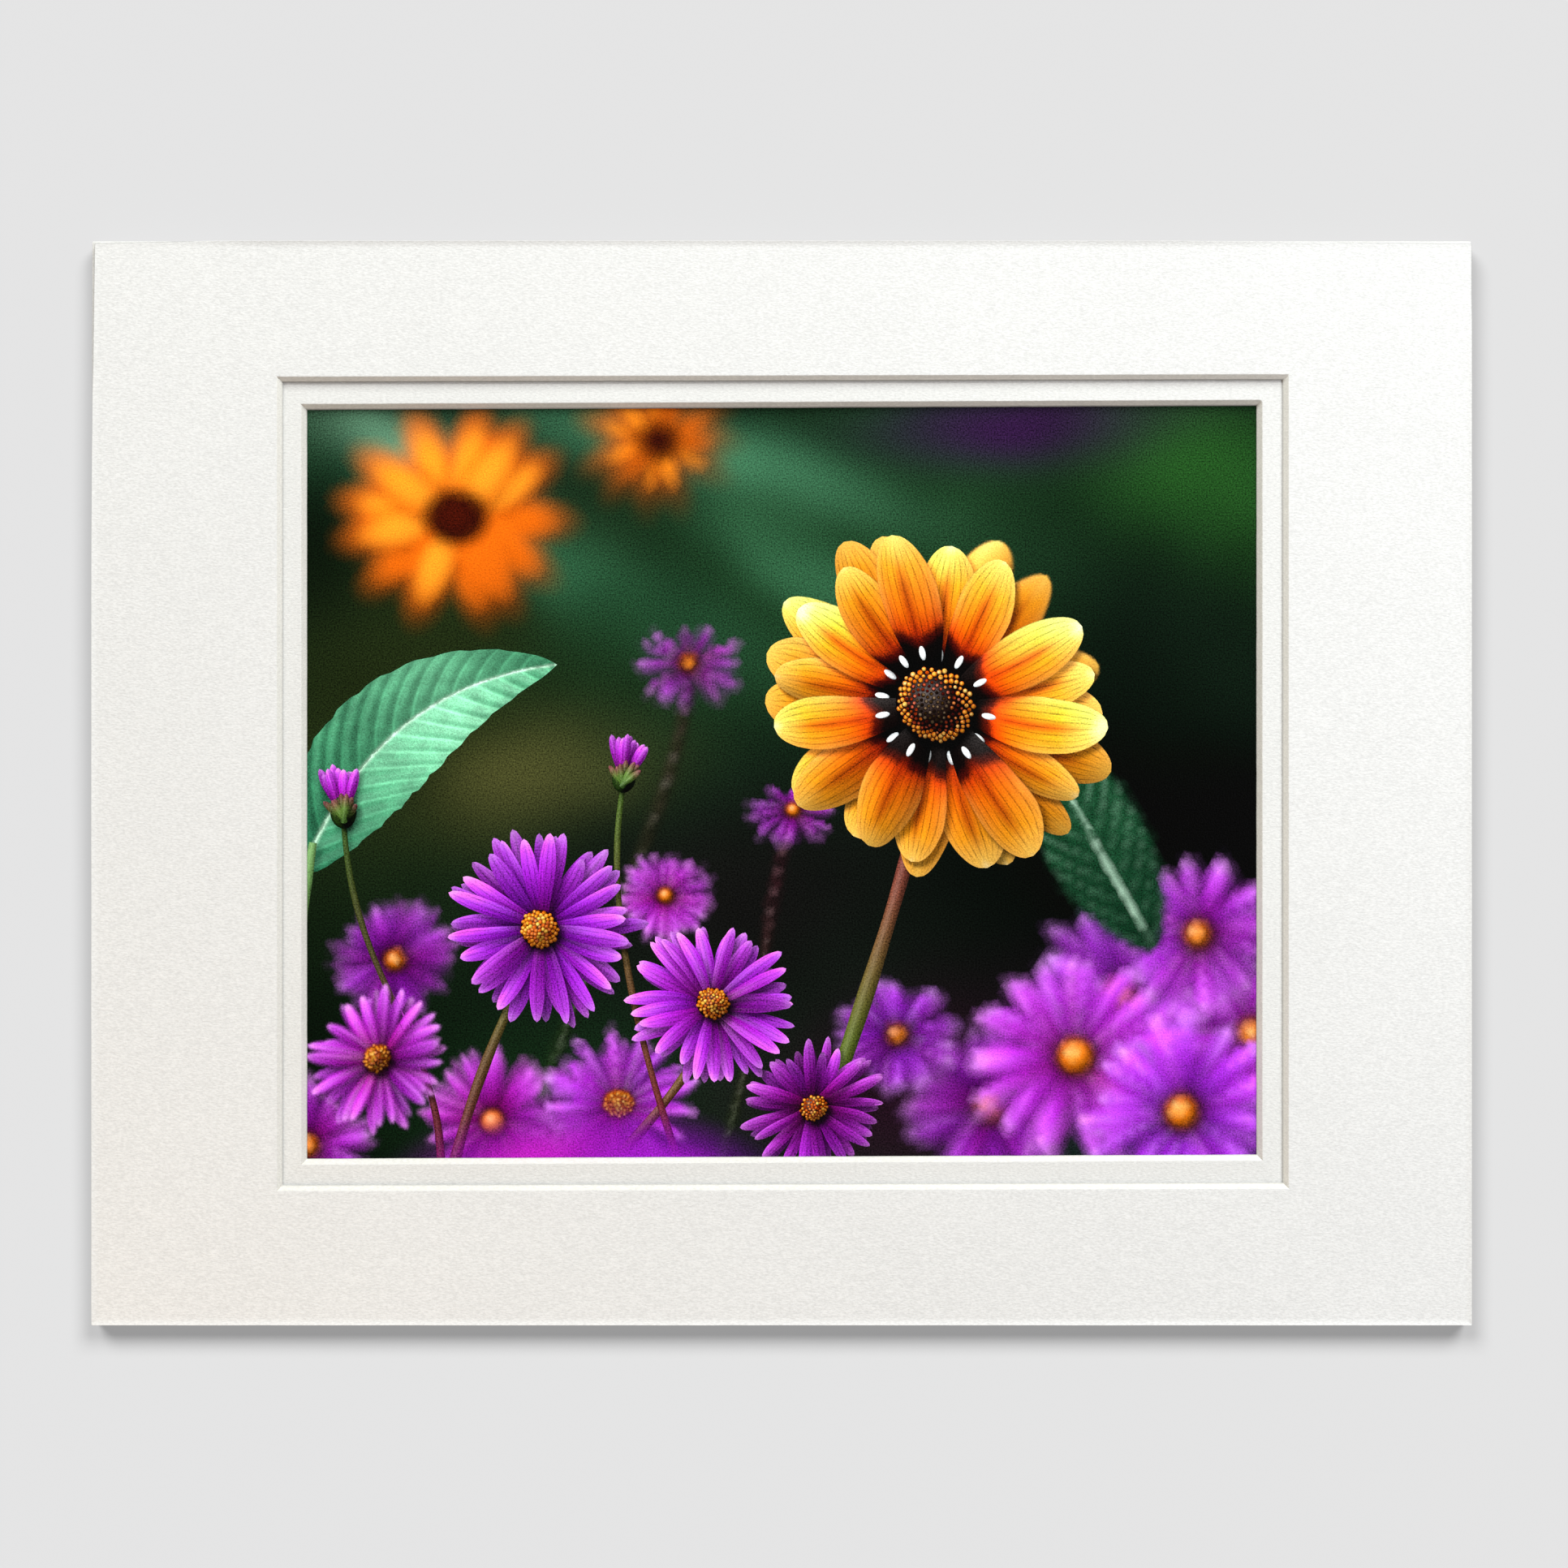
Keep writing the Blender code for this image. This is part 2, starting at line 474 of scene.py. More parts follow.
def foamBoard(name):
    finish = foamBoardFinish
    material, tree, shader = newMaterial(name)
    place = addNode(tree, "TexCoord").outputs["Object"]
    core = addNode(tree, "Attribute", {"attribute_name": "cut"}).outputs["Fac"]
    cells = addNode(tree, "TexVoronoi", {"Scale": 1 / (finish["cellMm"] * mm), "feature": "DISTANCE_TO_EDGE"},
                    {"Vector": place}).outputs["Distance"]
    fibre = addNode(tree, "TexNoise", {"Scale": 1 / (finish["fibreMm"] * mm), "Detail": 3.0},
                    {"Vector": place})
    low, high = finish["fibreTone"]
    fibreTone = addNode(tree, "MapRange", {"From Min": 0.3, "From Max": 0.7, "To Min": low, "To Max": high},
                        {"Value": fibre})
    # open cells are painted darker towards their middles: painted shade in their hollows
    low, high = finish["cellPaintedShade"]
    cellPaintedShade = addNode(tree, "MapRange", {"From Min": 0.0, "From Max": 0.25, "To Min": low, "To Max": high},
                       {"Value": cells})
    tone = addNode(tree, "Mix", {"data_type": "FLOAT"}, {0: core, 2: fibreTone, 3: cellPaintedShade})
    colour = addNode(tree, "Mix", {"data_type": "RGBA", 6: (*hexToLinear(finish["linerHex"]), 1),
                                   7: (*hexToLinear(finish["foamHex"]), 1)}, {0: core}).outputs[2]
    toned = addNode(tree, "VectorMath", {"operation": "SCALE"}, {0: colour, "Scale": tone})
    height = addNode(tree, "Mix", {"data_type": "FLOAT"}, {0: core, 2: fibre, 3: cells})
    bump = addNode(tree, "Bump", {"Strength": 0.3, "Distance": 0.08 * mm}, {"Height": height})
    rough = addNode(tree, "Mix", {"data_type": "FLOAT", 2: finish["roughnessLiner"],
                                  3: finish["roughnessFoam"]}, {0: core})
    fillNode(tree, shader, {"Specular IOR Level": finish["specular"]},
             {"Base Color": toned, "Roughness": rough, "Normal": bump})
    return material


def makeBackingBoard():
    low, high = boxInMm("backing_board")
    bottom, top = low[2], high[2]
    liner, drag = foamBoardFinish["linerMm"], foamBoardFinish["coreInset"]
    outline = sheetRing(boardHalf - 0.03, (0, 0), windowMat["cornerRadius"])
    out = outwardNormals(outline)
    path = ringPath(outline)
    count = len(outline)
    wave = edgeWave(path, 83)[:, None] * 0.5 - 0.01
    # the first ring lies a little way in, so that the flat back is shaded flat
    rings = [sheetRing(boardHalf - foamBoardFinish["backRing"], (0, 0), windowMat["cornerRadius"])]
    levels, cuts = [bottom], [0]
    centre = (bottom + top) / 2
    section = (    # inset, height, and 1 where the cut shows foam
        (0.10, bottom, 0), (0.03, bottom + 0.02, 0), (0.0, bottom + 0.08, 0), (0.0, bottom + liner * 0.9, 0),
        (drag, bottom + liner, 1), (drag * 1.15, bottom + liner + 0.3, 1), (drag * 1.3, centre - 0.7, 1),
        (drag * 1.35, centre, 1), (drag * 1.3, centre + 0.7, 1), (drag * 1.15, top - liner - 0.3, 1),
        (drag, top - liner, 1), (0.0, top - liner * 0.9, 0), (0.0, top - 0.08, 0), (0.03, top - 0.02, 0),
        (0.10, top, 0),
    )
    for k, (inset, level, cut) in enumerate(section):
        pits = 0.05 * valueNoise(path / 0.9, path * 0 + level * 1.3, 90 + k)[:, None] if cut else 0.0
        rings.append(outline + out * (wave - inset - pits))
        levels.append(level)
        cuts.append(cut)
    # the top face steps down to the print's bed, which the print covers
    bed = sheetRing(printSize / 2 + 0.15, printMiddle, 0.05)
    rings += [bed, bed]
    levels += [top, printLow[2] - 0.05]
    cuts += [0, 0]
    vertices = np.column_stack([np.concatenate(rings), np.repeat(levels, count)])
    faces = joinRings(rings, False)
    start = (len(rings) - 1) * count
    faces += [tuple(reversed(range(count))), tuple(range(start, start + count))]
    return finishPiece("backingBoard", vertices, faces, foamBoard("foamBoard"), "backing_board",
                       {"cut": np.repeat(cuts, count)})


backingBoard = makeBackingBoard()
print("backing board made")


# The picture: a generic garden close-up. It is painted corner by corner on a flat mesh whose edges
# follow every sharp outline, and the paper's shader adds the strands and veins that are finer than the mesh.
# Places in it are millimetres from the middle of the print.

picture = {
    "fineMm": 0.54,          # spacing of the mesh where the motifs are sharp
    "middleMm": 1.1,
    "coarseMm": 2.0,         # and in the blurred ground
    "light": (-0.42, 0.62, 0.66),
    "shadowShift": (0.9, -1.3),
    "sharpBelowBlur": 0.4,   # shapes less blurred than this get their own edges in the mesh
    "contrast": 1.38,
    "gain": 1.62,
    "seed": 7,
}
layers = []                  # back to front, filled by the motifs below
draw = np.random.default_rng(picture["seed"])
lightWay = np.array(picture["light"]) / np.linalg.norm(picture["light"])
glossWay = lightWay + np.array([0, 0, 1])
glossWay = glossWay / np.linalg.norm(glossWay)


def tones(*texts):
    return np.array([hexToLinear(text) for text in texts])


def ramp(t, stops, colours):
    # smooth change through the colours at the given stops
    return np.stack([np.interp(t, stops, colours[:, k]) for k in range(3)], axis=-1)


def blend(a, b, share):
    return a + (b - a) * np.asarray(share)[..., None]


def lit(normal, ambient=0.42, gain=0.75, shine=0.1, gloss=14):
    normal = normal / np.maximum(np.linalg.norm(normal, axis=-1, keepdims=True), 1e-9)
    normal = np.where(normal[..., 2:] < 0, -normal, normal)
    light = ambient + gain * np.clip(normal @ lightWay, 0, 1)
    return light, shine * np.clip(normal @ glossWay, 0, 1) ** gloss


def addLayer(outline, margin, cover, paint, blur, group, shadow, crease=None):
    # cover gives the signed distance in mm (negative inside), paint the colour, streak, strand and vein
    margin = blur + margin
    layers.append({"box": (*(outline.min(axis=0) - margin), *(outline.max(axis=0) + margin)),
                   "cover": cover, "paint": paint, "blur": blur, "group": group, "shadow": shadow,
                   "outline": outline if blur < picture["sharpBelowBlur"] else None, "crease": crease})


def withEnds(inside, beyond):
    # distance to a strip from its distance across and from how far a point lies past its ends
    return np.where(beyond > 0, np.hypot(beyond, np.maximum(inside, 0)), inside)


# A petal is a curved strip in space: u runs along it, y across it in mm

def petalWidth(petal, u):
    peak, base = petal["peak"], petal["base"]
    grow = base + (1 - base) * np.sin(np.clip(u / peak, 0, 1) * math.pi / 2)
    close = 1 - np.clip((u - peak) / (1 - peak), 0, 1) ** petal["tip"]
    edge = 1 + petal["ragged"] * (valueNoise(u * 6, u * 0 + petal["id"] * 0.7, 3) - 0.5)
    return petal["width"] * grow * np.sqrt(np.clip(close, 0, 1)) * edge


def petalPoint(petal, u, y):
    length = petal["length"]
    along = petal["start"] + length * u
    lift = length * (petal["rise"] * u - petal["droop"] * u * u) - petal["cup"] * y * y / petal["width"]
    lift = lift + petal["roll"] * y + petal["wave"] * np.sin(u * petal["waves"] + petal["id"]) * (0.4 + u)
    side = y + petal["bend"] * length * u * u
    local = (along[..., None] * petal["way"] + side[..., None] * petal["across"]
             + lift[..., None] * petal["up"])
    return local + petal["middle"]


def petalFind(petal, points):
    # the strip's own coordinates for points of the picture, by a few Newton steps
    flatWay, flatAcross = petal["way"][:2], petal["across"][:2]
    shift = points - petal["middle"][:2]
    inverse = np.linalg.inv(np.stack([flatWay * petal["length"], flatAcross], axis=1))
    start = (shift - petal["start"] * flatWay) @ inverse.T
    u, y = start[:, 0], start[:, 1]
    step = 1e-3
    for _ in range(5):
        here = petalPoint(petal, u, y)[:, :2]
        du = (petalPoint(petal, u + step, y)[:, :2] - here) / step
        dy = (petalPoint(petal, u, y + step)[:, :2] - here) / step
        miss = points - here
        det = du[:, 0] * dy[:, 1] - du[:, 1] * dy[:, 0]
        det = np.where(np.abs(det) < 1e-3, 1e-3, det)
        u = np.clip(u + (miss[:, 0] * dy[:, 1] - miss[:, 1] * dy[:, 0]) / det, -0.3, 1.35)
        y = np.clip(y + (du[:, 0] * miss[:, 1] - du[:, 1] * miss[:, 0]) / det, -60, 60)
    lost = np.abs(points - petalPoint(petal, u, y)[:, :2]).max(axis=1)
    return u, y, lost


def petalNormal(petal, u, y):
    step = 2e-3
    here = petalPoint(petal, u, y)
    return np.cross(petalPoint(petal, u + step, y) - here, petalPoint(petal, u, y + step) - here)


def addPetal(petal, colourOf, blur=0.0, group=0, shadow=0.45, steps=22):
    u = 1 - (1 - np.linspace(0, 1, steps)) ** 1.25
    w = petalWidth(petal, u)
    sides = [petalPoint(petal, u, -w), petalPoint(petal, u[::-1][1:], w[::-1][1:])]
    outline = np.concatenate(sides)[:, :2]

    def cover(points):
        u, y, lost = petalFind(petal, points)
        inside = np.abs(y) - petalWidth(petal, np.clip(u, 0, 1))
        return np.where(lost > 0.3, 99.0, withEnds(inside, np.maximum(u - 1, -u) * petal["length"]))

    def paint(points):
        u, y, lost = petalFind(petal, points)
        v = y / np.maximum(petalWidth(petal, np.clip(u, 0, 1)), 0.25 * petal["width"])
        light, shine = lit(petalNormal(petal, u, y))
        colour, streak, vein, phase = colourOf(petal, np.clip(u, 0, 1), np.clip(v, -1, 1))
        colour = colour * light[:, None] + shine[:, None]
        strand = np.stack([y / 0.34 + petal["id"] * 7.3, u * petal["length"] / 7 + petal["id"] * 3.1, phase],
                          axis=-1)
        return colour, streak, strand, vein

    addLayer(outline, 0.5, cover, paint, blur, group, shadow)


# A strip follows a bent line: stems and leaves

def bezier(points, t):
    a, b, c, d = (np.asarray(p, float) for p in points)
    t = np.asarray(t)[..., None]
    return a * (1 - t) ** 3 + 3 * b * t * (1 - t) ** 2 + 3 * c * t * t * (1 - t) + d * t ** 3


def stripFind(line, points):
    # share of the way along and signed distance across, by the nearest piece of the line
    ahead = line[1:] - line[:-1]
    lengths = np.linalg.norm(ahead, axis=1)
    total = lengths.sum()
    before = np.concatenate([[0], np.cumsum(lengths)[:-1]])
    best = np.full(len(points), 1e9)
    along, across = np.zeros(len(points)), np.zeros(len(points))
    for k in range(len(ahead)):
        unit = ahead[k] / lengths[k]
        shift = points - line[k]
        raw = shift @ unit
        t = raw if k in (0, len(ahead) - 1) else np.clip(raw, 0, lengths[k])
        t = np.minimum(t, lengths[k]) if k == 0 else t
        t = np.maximum(t, 0) if k == len(ahead) - 1 else t
        side = shift[:, 1] * unit[0] - shift[:, 0] * unit[1]
        distance = np.hypot(shift[:, 0] - t * unit[0], shift[:, 1] - t * unit[1])
        closer = distance < best
        best = np.where(closer, distance, best)
        along = np.where(closer, (before[k] + t) / total, along)
        across = np.where(closer, side, across)
    return along, across, total


def stripNormal(line, t):
    index = np.clip((t * (len(line) - 1)).astype(int), 0, len(line) - 2)
    ahead = line[index + 1] - line[index]
    ahead /= np.linalg.norm(ahead, axis=1, keepdims=True)
    return np.stack([-ahead[:, 1], ahead[:, 0]], axis=1)


def addStrip(controls, widthOf, colourOf, blur=0.0, group=0, shadow=0.4, steps=26, crease=False):
    line = bezier(controls, np.linspace(0, 1, steps))
    t = np.linspace(0, 1, steps)
    normals = stripNormal(line, t)
    w = widthOf(t)
    outline = np.concatenate([line - normals * w[:, None], (line + normals * w[:, None])[::-1]])
    number = len(layers)

    def cover(points):
        t, y, total = stripFind(line, points)
        return withEnds(np.abs(y) - widthOf(np.clip(t, 0, 1)), np.maximum(t - 1, -t) * total)

    def paint(points):
        t, y, total = stripFind(line, points)
        v = np.clip(y / np.maximum(widthOf(np.clip(t, 0, 1)), 0.3), -1, 1)
        normal, colour, streak, vein, phase, grain = colourOf(np.clip(t, 0, 1), v, y, total,
                                                              stripNormal(line, np.clip(t, 0, 1)))
        light, shine = lit(normal)
        colour = colour * light[:, None] + shine[:, None]
        strand = np.stack([y / grain[0] + number * 5.7, t * total / grain[1] + number * 2.3, phase], axis=-1)
        return colour, streak, strand, vein

    addLayer(outline, 0.5, cover, paint, blur, group, shadow, line[1:-1] if crease else None)


# A bead is a small dome: florets, dots and buds

def addBead(place, radii, angle, colours, blur=0.0, group=0, shadow=0.0, sides=9, flat=False):
    way = wayAt(angle)
    side = np.array([-way[1], way[0]])
    place = np.asarray(place, float)
    spread = np.linspace(0, 2 * math.pi, sides, endpoint=False)
    outline = place + radii[0] * np.cos(spread)[:, None] * way + radii[1] * np.sin(spread)[:, None] * side
    number = len(layers)

    def locate(points):
        shift = points - place
        return shift @ way / radii[0], shift @ side / radii[1]

    def cover(points):
        a, b = locate(points)
        return (np.hypot(a, b) - 1) * min(radii)

    def paint(points):
        a, b = locate(points)
        r = np.clip(np.hypot(a, b), 0, 1)
        bulge = 0.25 if flat else 1.0
        level = np.sqrt(1 - 0.92 * r * r)
        flatNormal = (a[:, None] * way + b[:, None] * side) * bulge
        light, shine = lit(np.column_stack([flatNormal, level]), 0.4, 0.85, 0.0 if flat else 0.22, 10)
        colour = blend(colours[0], colours[1], r ** 2) * light[:, None] + shine[:, None]
        zero = np.zeros(len(points))
        strand = np.column_stack([points / 0.5 + number, zero + 0.5])
        return colour, zero + 0.25, strand, zero

    addLayer(outline, 0.4, cover, paint, blur, group, shadow)


def tilted(tiltWay, tiltBy):
    # axes of a flower that leans by tiltBy towards the direction tiltWay (degrees)
    x, y = wayAt(tiltWay)
    return np.array(Quaternion((-y, x, 0), math.radians(tiltBy)).to_matrix())


def makePetal(middle, axes, turn, start, length, width, **more):
    # one petal of a flower, turned by so many degrees about the flower's own axis
    x, y = wayAt(turn)
    petal = {"peak": 0.62, "base": 0.42, "tip": 2.2, "ragged": 0.06, "rise": 0.1, "droop": 0.15, "cup": 0.25,
             "roll": 0.0, "wave": 0.0, "waves": 5.0, "bend": 0.0, "tone": 0.0}
    petal.update(more)
    petal.update({
        "middle": np.array([middle[0], middle[1], 0.0]), "start": start, "length": length, "width": width,
        "way": axes @ np.array([x, y, 0]), "across": axes @ np.array([-y, x, 0]), "up": axes[:, 2],
        "id": float(len(layers) % 211),
    })
    return petal


goldenAngle = 137.508     # degrees from one floret of a disc to the next


def floretSpots(count, radius, bulge, axes):
    # outermost first, so that the inner florets stand in front
    for k in range(count):
        share = 1 - (k + 0.5) / count
        reach = radius * math.sqrt(share)
        yield share, (axes @ np.array([*(reach * wayAt(k * goldenAngle)), bulge * (1 - share)]))[:2]


# Out-of-focus ground

groundTone = 0.76
groundBlobs = (
    # x, y, reach along, reach across, turn, colour, strength
    (100, -20, 75, 60, 0, "#07110d", 0.95), (-125, -92, 60, 42, 0, "#060b08", 0.95),
    (-95, 22, 60, 40, 20, "#3f4f20", 0.85), (-60, 2, 30, 13, 12, "#77743a", 0.7),
    (20, 62, 70, 40, 30, "#2b6238", 0.8), (-15, -32, 52, 30, 10, "#2a1d26", 0.75),
    (-72, 60, 62, 12, -24, "#3d8862", 0.8), (-20, 83, 52, 10, -16, "#56a37c", 0.75),
    (-96, 86, 26, 9, -20, "#8ecdab", 0.6), (6, 52, 30, 9, -28, "#4c9a70", 0.6),
    (110, 78, 42, 20, -38, "#2f7d2a", 0.85), (62, 92, 36, 9, 4, "#551468", 0.8),
    (112, 38, 24, 30, 10, "#1b3a25", 0.7), (34, -78, 52, 22, 12, "#4b163f", 0.7),
    (-72, -84, 46, 26, 0, "#1f4a28", 0.7), (112, -92, 36, 18, 10, "#27564a", 0.8),
    (-118, 60, 20, 26, 0, "#152b17", 0.8), (-46, 40, 26, 16, 30, "#20502f", 0.6),
)


def paintGround(points):
    x, y = points[:, 0], points[:, 1]
    warpX = x + 12 * (layeredNoise(x / 38, y / 38, 5) - 0.5)
    warpY = y + 12 * (layeredNoise(x / 38 + 9, y / 38, 6) - 0.5)
    colour = ramp((x + 127) / 254, (0, 0.45, 1), tones("#1d3a20", "#1c3d28", "#10241a"))
    for cx, cy, rx, ry, turn, text, strength in groundBlobs:
        c, s = wayAt(turn)
        a = ((warpX - cx) * c + (warpY - cy) * s) / rx
        b = ((warpY - cy) * c - (warpX - cx) * s) / ry
        colour = blend(colour, tones(text)[0], strength * np.exp(-(a * a + b * b) ** 1.15))
    grey = colour @ np.array([0.2126, 0.7152, 0.0722])
    colour = blend(colour, grey[:, None] * np.array([1.0, 1.0, 0.9]), np.full(len(x), 0.22))
    return groundTone * colour * (0.8 + 0.4 * layeredNoise(x / 24, y / 24, 12))[:, None]


# Treasure-flower: orange rays with a dark, white-spotted eye round an orange disc

bigFlower = {
    "place": (40.0, 20.0),
    "tiltWay": 232.0,
    "tiltBy": 27.0,
    "discRadius": 10.5,
    "rayLength": 39.0,
    "rayWidth": 8.0,
    "rays": (15, 16),
    "florets": 190,
    "rayStops": (0.0, 0.16, 0.23, 0.28, 0.42, 0.72, 0.92, 1.0),
    "rayTones": tones("#150b0a", "#1d0d0a", "#6a1e06", "#dc5c0a", "#f78a10", "#ffb632", "#ffd474", "#ffe9b4"),
    "stripe": tones("#a83204")[0],
    "edge": tones("#ffd084")[0],
}


def bigRayColour(petal, u, v):
    flower = bigFlower
    shift = 0.05 * np.abs(v) - 0.03 * (valueNoise(v * 5 + petal["id"], u * 0, 8) - 0.5)
    colour = ramp(u - shift + petal["tone"] * 0.06, flower["rayStops"], flower["rayTones"])
    stripe = np.exp(-(v / 0.2) ** 2) * smooth(0.2, 0.34, u) * (1 - smooth(0.62, 0.94, u))
    colour = blend(colour, flower["stripe"], 0.62 * stripe)
    colour = blend(colour, flower["edge"], 0.42 * np.abs(v) ** 3 * smooth(0.28, 0.6, u))
    colour = colour * (1.12 + 0.2 * petal["tone"])
    fade = smooth(0.22, 0.32, u) * (1 - smooth(0.86, 1.0, u))
    return colour, 0.25 + 0.6 * fade, -0.42 * fade, v * 4.0


def addBigFlower():
    flower = bigFlower
    axes = tilted(flower["tiltWay"], flower["tiltBy"])
    for row, count in enumerate(flower["rays"]):
        order = draw.permutation(count)
        for k in order:
            turn = 360 * (k + 0.5 * row) / count + draw.uniform(-5, 5)
            far = math.cos(math.radians(turn - flower["tiltWay"] - 180))    # 1 on the far side
            petal = makePetal(
                flower["place"], axes, turn, flower["discRadius"] * 0.7,
                flower["rayLength"] * draw.uniform(0.93, 1.05) * (1.03 if row == 0 else 0.97),
                flower["rayWidth"] * draw.uniform(0.86, 1.06), peak=draw.uniform(0.56, 0.68),
                base=0.36, tip=draw.uniform(1.45, 2.1), rise=0.22 + 0.12 * row + draw.uniform(-0.05, 0.08),
                droop=0.26 + draw.uniform(-0.06, 0.14), cup=draw.uniform(0.12, 0.5),
                roll=draw.uniform(-0.28, 0.28), wave=draw.uniform(0.2, 0.9), bend=draw.uniform(-0.1, 0.1),
                tone=draw.uniform(-1, 1) - (0.9 if row == 0 else 0))
            soft = 0.55 if row == 0 and far > 0.75 else 0.0
            addPetal(petal, bigRayColour, soft, group=1, shadow=0.6, steps=30)
            if row == 1:
                spot = petalPoint(petal, np.array([0.185]), np.array([0.0]))[0, :2]
                heading = math.degrees(math.atan2(petal["way"][1], petal["way"][0]))
                addBead(spot, (1.9, 0.8), heading, tones("#ffffff", "#dfe6ea"), group=1, sides=14, flat=True)
    centre = np.array(flower["place"]) + 1.6 * axes[:2, 2]
    squash = math.cos(math.radians(flower["tiltBy"]))
    radius = flower["discRadius"]
    addBead(centre, (radius * squash, radius), flower["tiltWay"], tones("#3a1606", "#160a06"), group=1,
            shadow=0.75, sides=48)
    for share, spot in floretSpots(flower["florets"], radius * 0.97, 2.6, axes):
        place = np.array(flower["place"]) + axes[:2, 2] + spot
        size = draw.uniform(0.42, 0.62) * (1.15 if share > 0.55 else 0.85)
        addBead(place, (size * 1.2, size * 1.2), 0, tones("#2a0f05", "#120705"), group=1, shadow=0.3, sides=8)
        if share > 0.55:
            pair = tones("#ffc23c", "#d86a08") if draw.random() > 0.25 else tones("#ffe08a", "#e08a14")
        elif share > 0.2:
            pair = tones("#c9560c", "#6a2206") if draw.random() > 0.3 else tones("#f0961e", "#8a3a08")
        else:
            pair = tones("#7a5a1e", "#30200a")
        addBead(place + size * 0.12, (size, size), 0, pair, group=1, sides=8)


# Asters: narrow violet rays round a yellow disc

asterTones = {
    "ray": tones("#5e0f68", "#861fac", "#aa38d2", "#c65eec", "#dc98f8"),
    "warm": tones("#8a0f5a", "#a81e96", "#c23ac4", "#d866e2", "#ea9cf0"),
    "disc": (("#ffb524", "#b8560a"), ("#f08a14", "#8a3208"), ("#ffd768", "#c4780e")),
}


def asterRayColour(petal, u, v):
    cool = ramp(u, (0, 0.25, 0.55, 0.85, 1), asterTones["ray"])
    warm = ramp(u, (0, 0.25, 0.55, 0.85, 1), asterTones["warm"])
    colour = blend(cool, warm, np.full(len(u), petal["warmth"]))
    colour = colour * (1 + 0.3 * petal["tone"] - 0.18 * np.exp(-(v / 0.25) ** 2))[:, None]
    return colour, 0.5 + 0 * u, -0.35 * (1 - smooth(0.8, 1, u)), v * 1.6


def addAster(place, size, tiltWay, tiltBy, rays, blur, group, warmth=0.2, dim=1.0, rows=2):
    axes = tilted(tiltWay, tiltBy)
    disc = 0.2 * size
    for row in range(rows):
        for k in draw.permutation(rays):
            turn = 360 * (k + 0.5 * row) / rays + draw.uniform(-4, 4)
            petal = makePetal(place, axes, turn, disc * 0.7, (size - disc * 0.7) * draw.uniform(0.88, 1.06),
                              size * 0.082 * draw.uniform(0.85, 1.15), peak=0.6, base=0.5, tip=1.8,
                              rise=0.18 + 0.16 * row + draw.uniform(-0.05, 0.12),
                              droop=draw.uniform(0.1, 0.42), cup=0.35, roll=draw.uniform(-0.3, 0.3),
                              bend=draw.uniform(-0.14, 0.14), wave=draw.uniform(0, 0.3),
                              tone=draw.uniform(-1, 1) * 0.7 - (0.9 if row == 0 else 0) + 3 * (dim - 1),
                              warmth=np.clip(warmth + draw.uniform(-0.15, 0.2), 0, 1))
            addPetal(petal, asterRayColour, blur, group, 0.5, 16)
    squash = math.cos(math.radians(tiltBy))
    middle = np.array(place) + 0.06 * size * axes[:2, 2]
    addBead(middle, (disc * squash, disc), tiltWay, tones("#6a3008", "#2a1004") * dim, max(blur, 0), group,
            0.6, 28)
    if blur > 1.5:
        addBead(middle, (disc * 0.8, disc * 0.8), 0, tones("#e8941c", "#b8600c") * dim, blur * 0.7, group)
        return
    for share, spot in floretSpots(int(70 * size / 22), disc * 0.95, 1.1, axes):
        pair = asterTones["disc"][0 if share > 0.45 else (1 if draw.random() > 0.35 else 2)]
        bead = disc * draw.uniform(0.095, 0.13)
        addBead(middle + spot, (bead, bead), 0, tones(*pair) * dim, blur * 0.6, group, 0.25, 7)


# Stems, leaves and buds

def addStem(controls, width, texts, blur=0.0, group=0):
    colours = tones(*texts)

    def widthOf(t):
        return width * (1 - 0.25 * t) * (1 + 0.08 * np.sin(t * 17))

    def colourOf(t, v, y, total, side):
        normal = np.column_stack([side * (v * 0.95)[:, None], np.sqrt(1.05 - v * v)])
        colour = ramp(t, np.linspace(0, 1, len(colours)), colours)
        return normal, colour, 0.6 + 0 * t, -0.15 + 0 * t, v * 2.2, (0.3, 3.0)

    addStrip(controls, widthOf, colourOf, blur, group, 0.35, 30)


leaf = {
    "vein": 0.55,            # how much lighter the veins are
    "veinMm": 6.2,           # from one vein to the next
    "scallops": ((0.022, 61), (0.012, 140)),     # waves of the edge: share of the width, turns in radians
    "rib": tones("#d2efdc")[0],
}


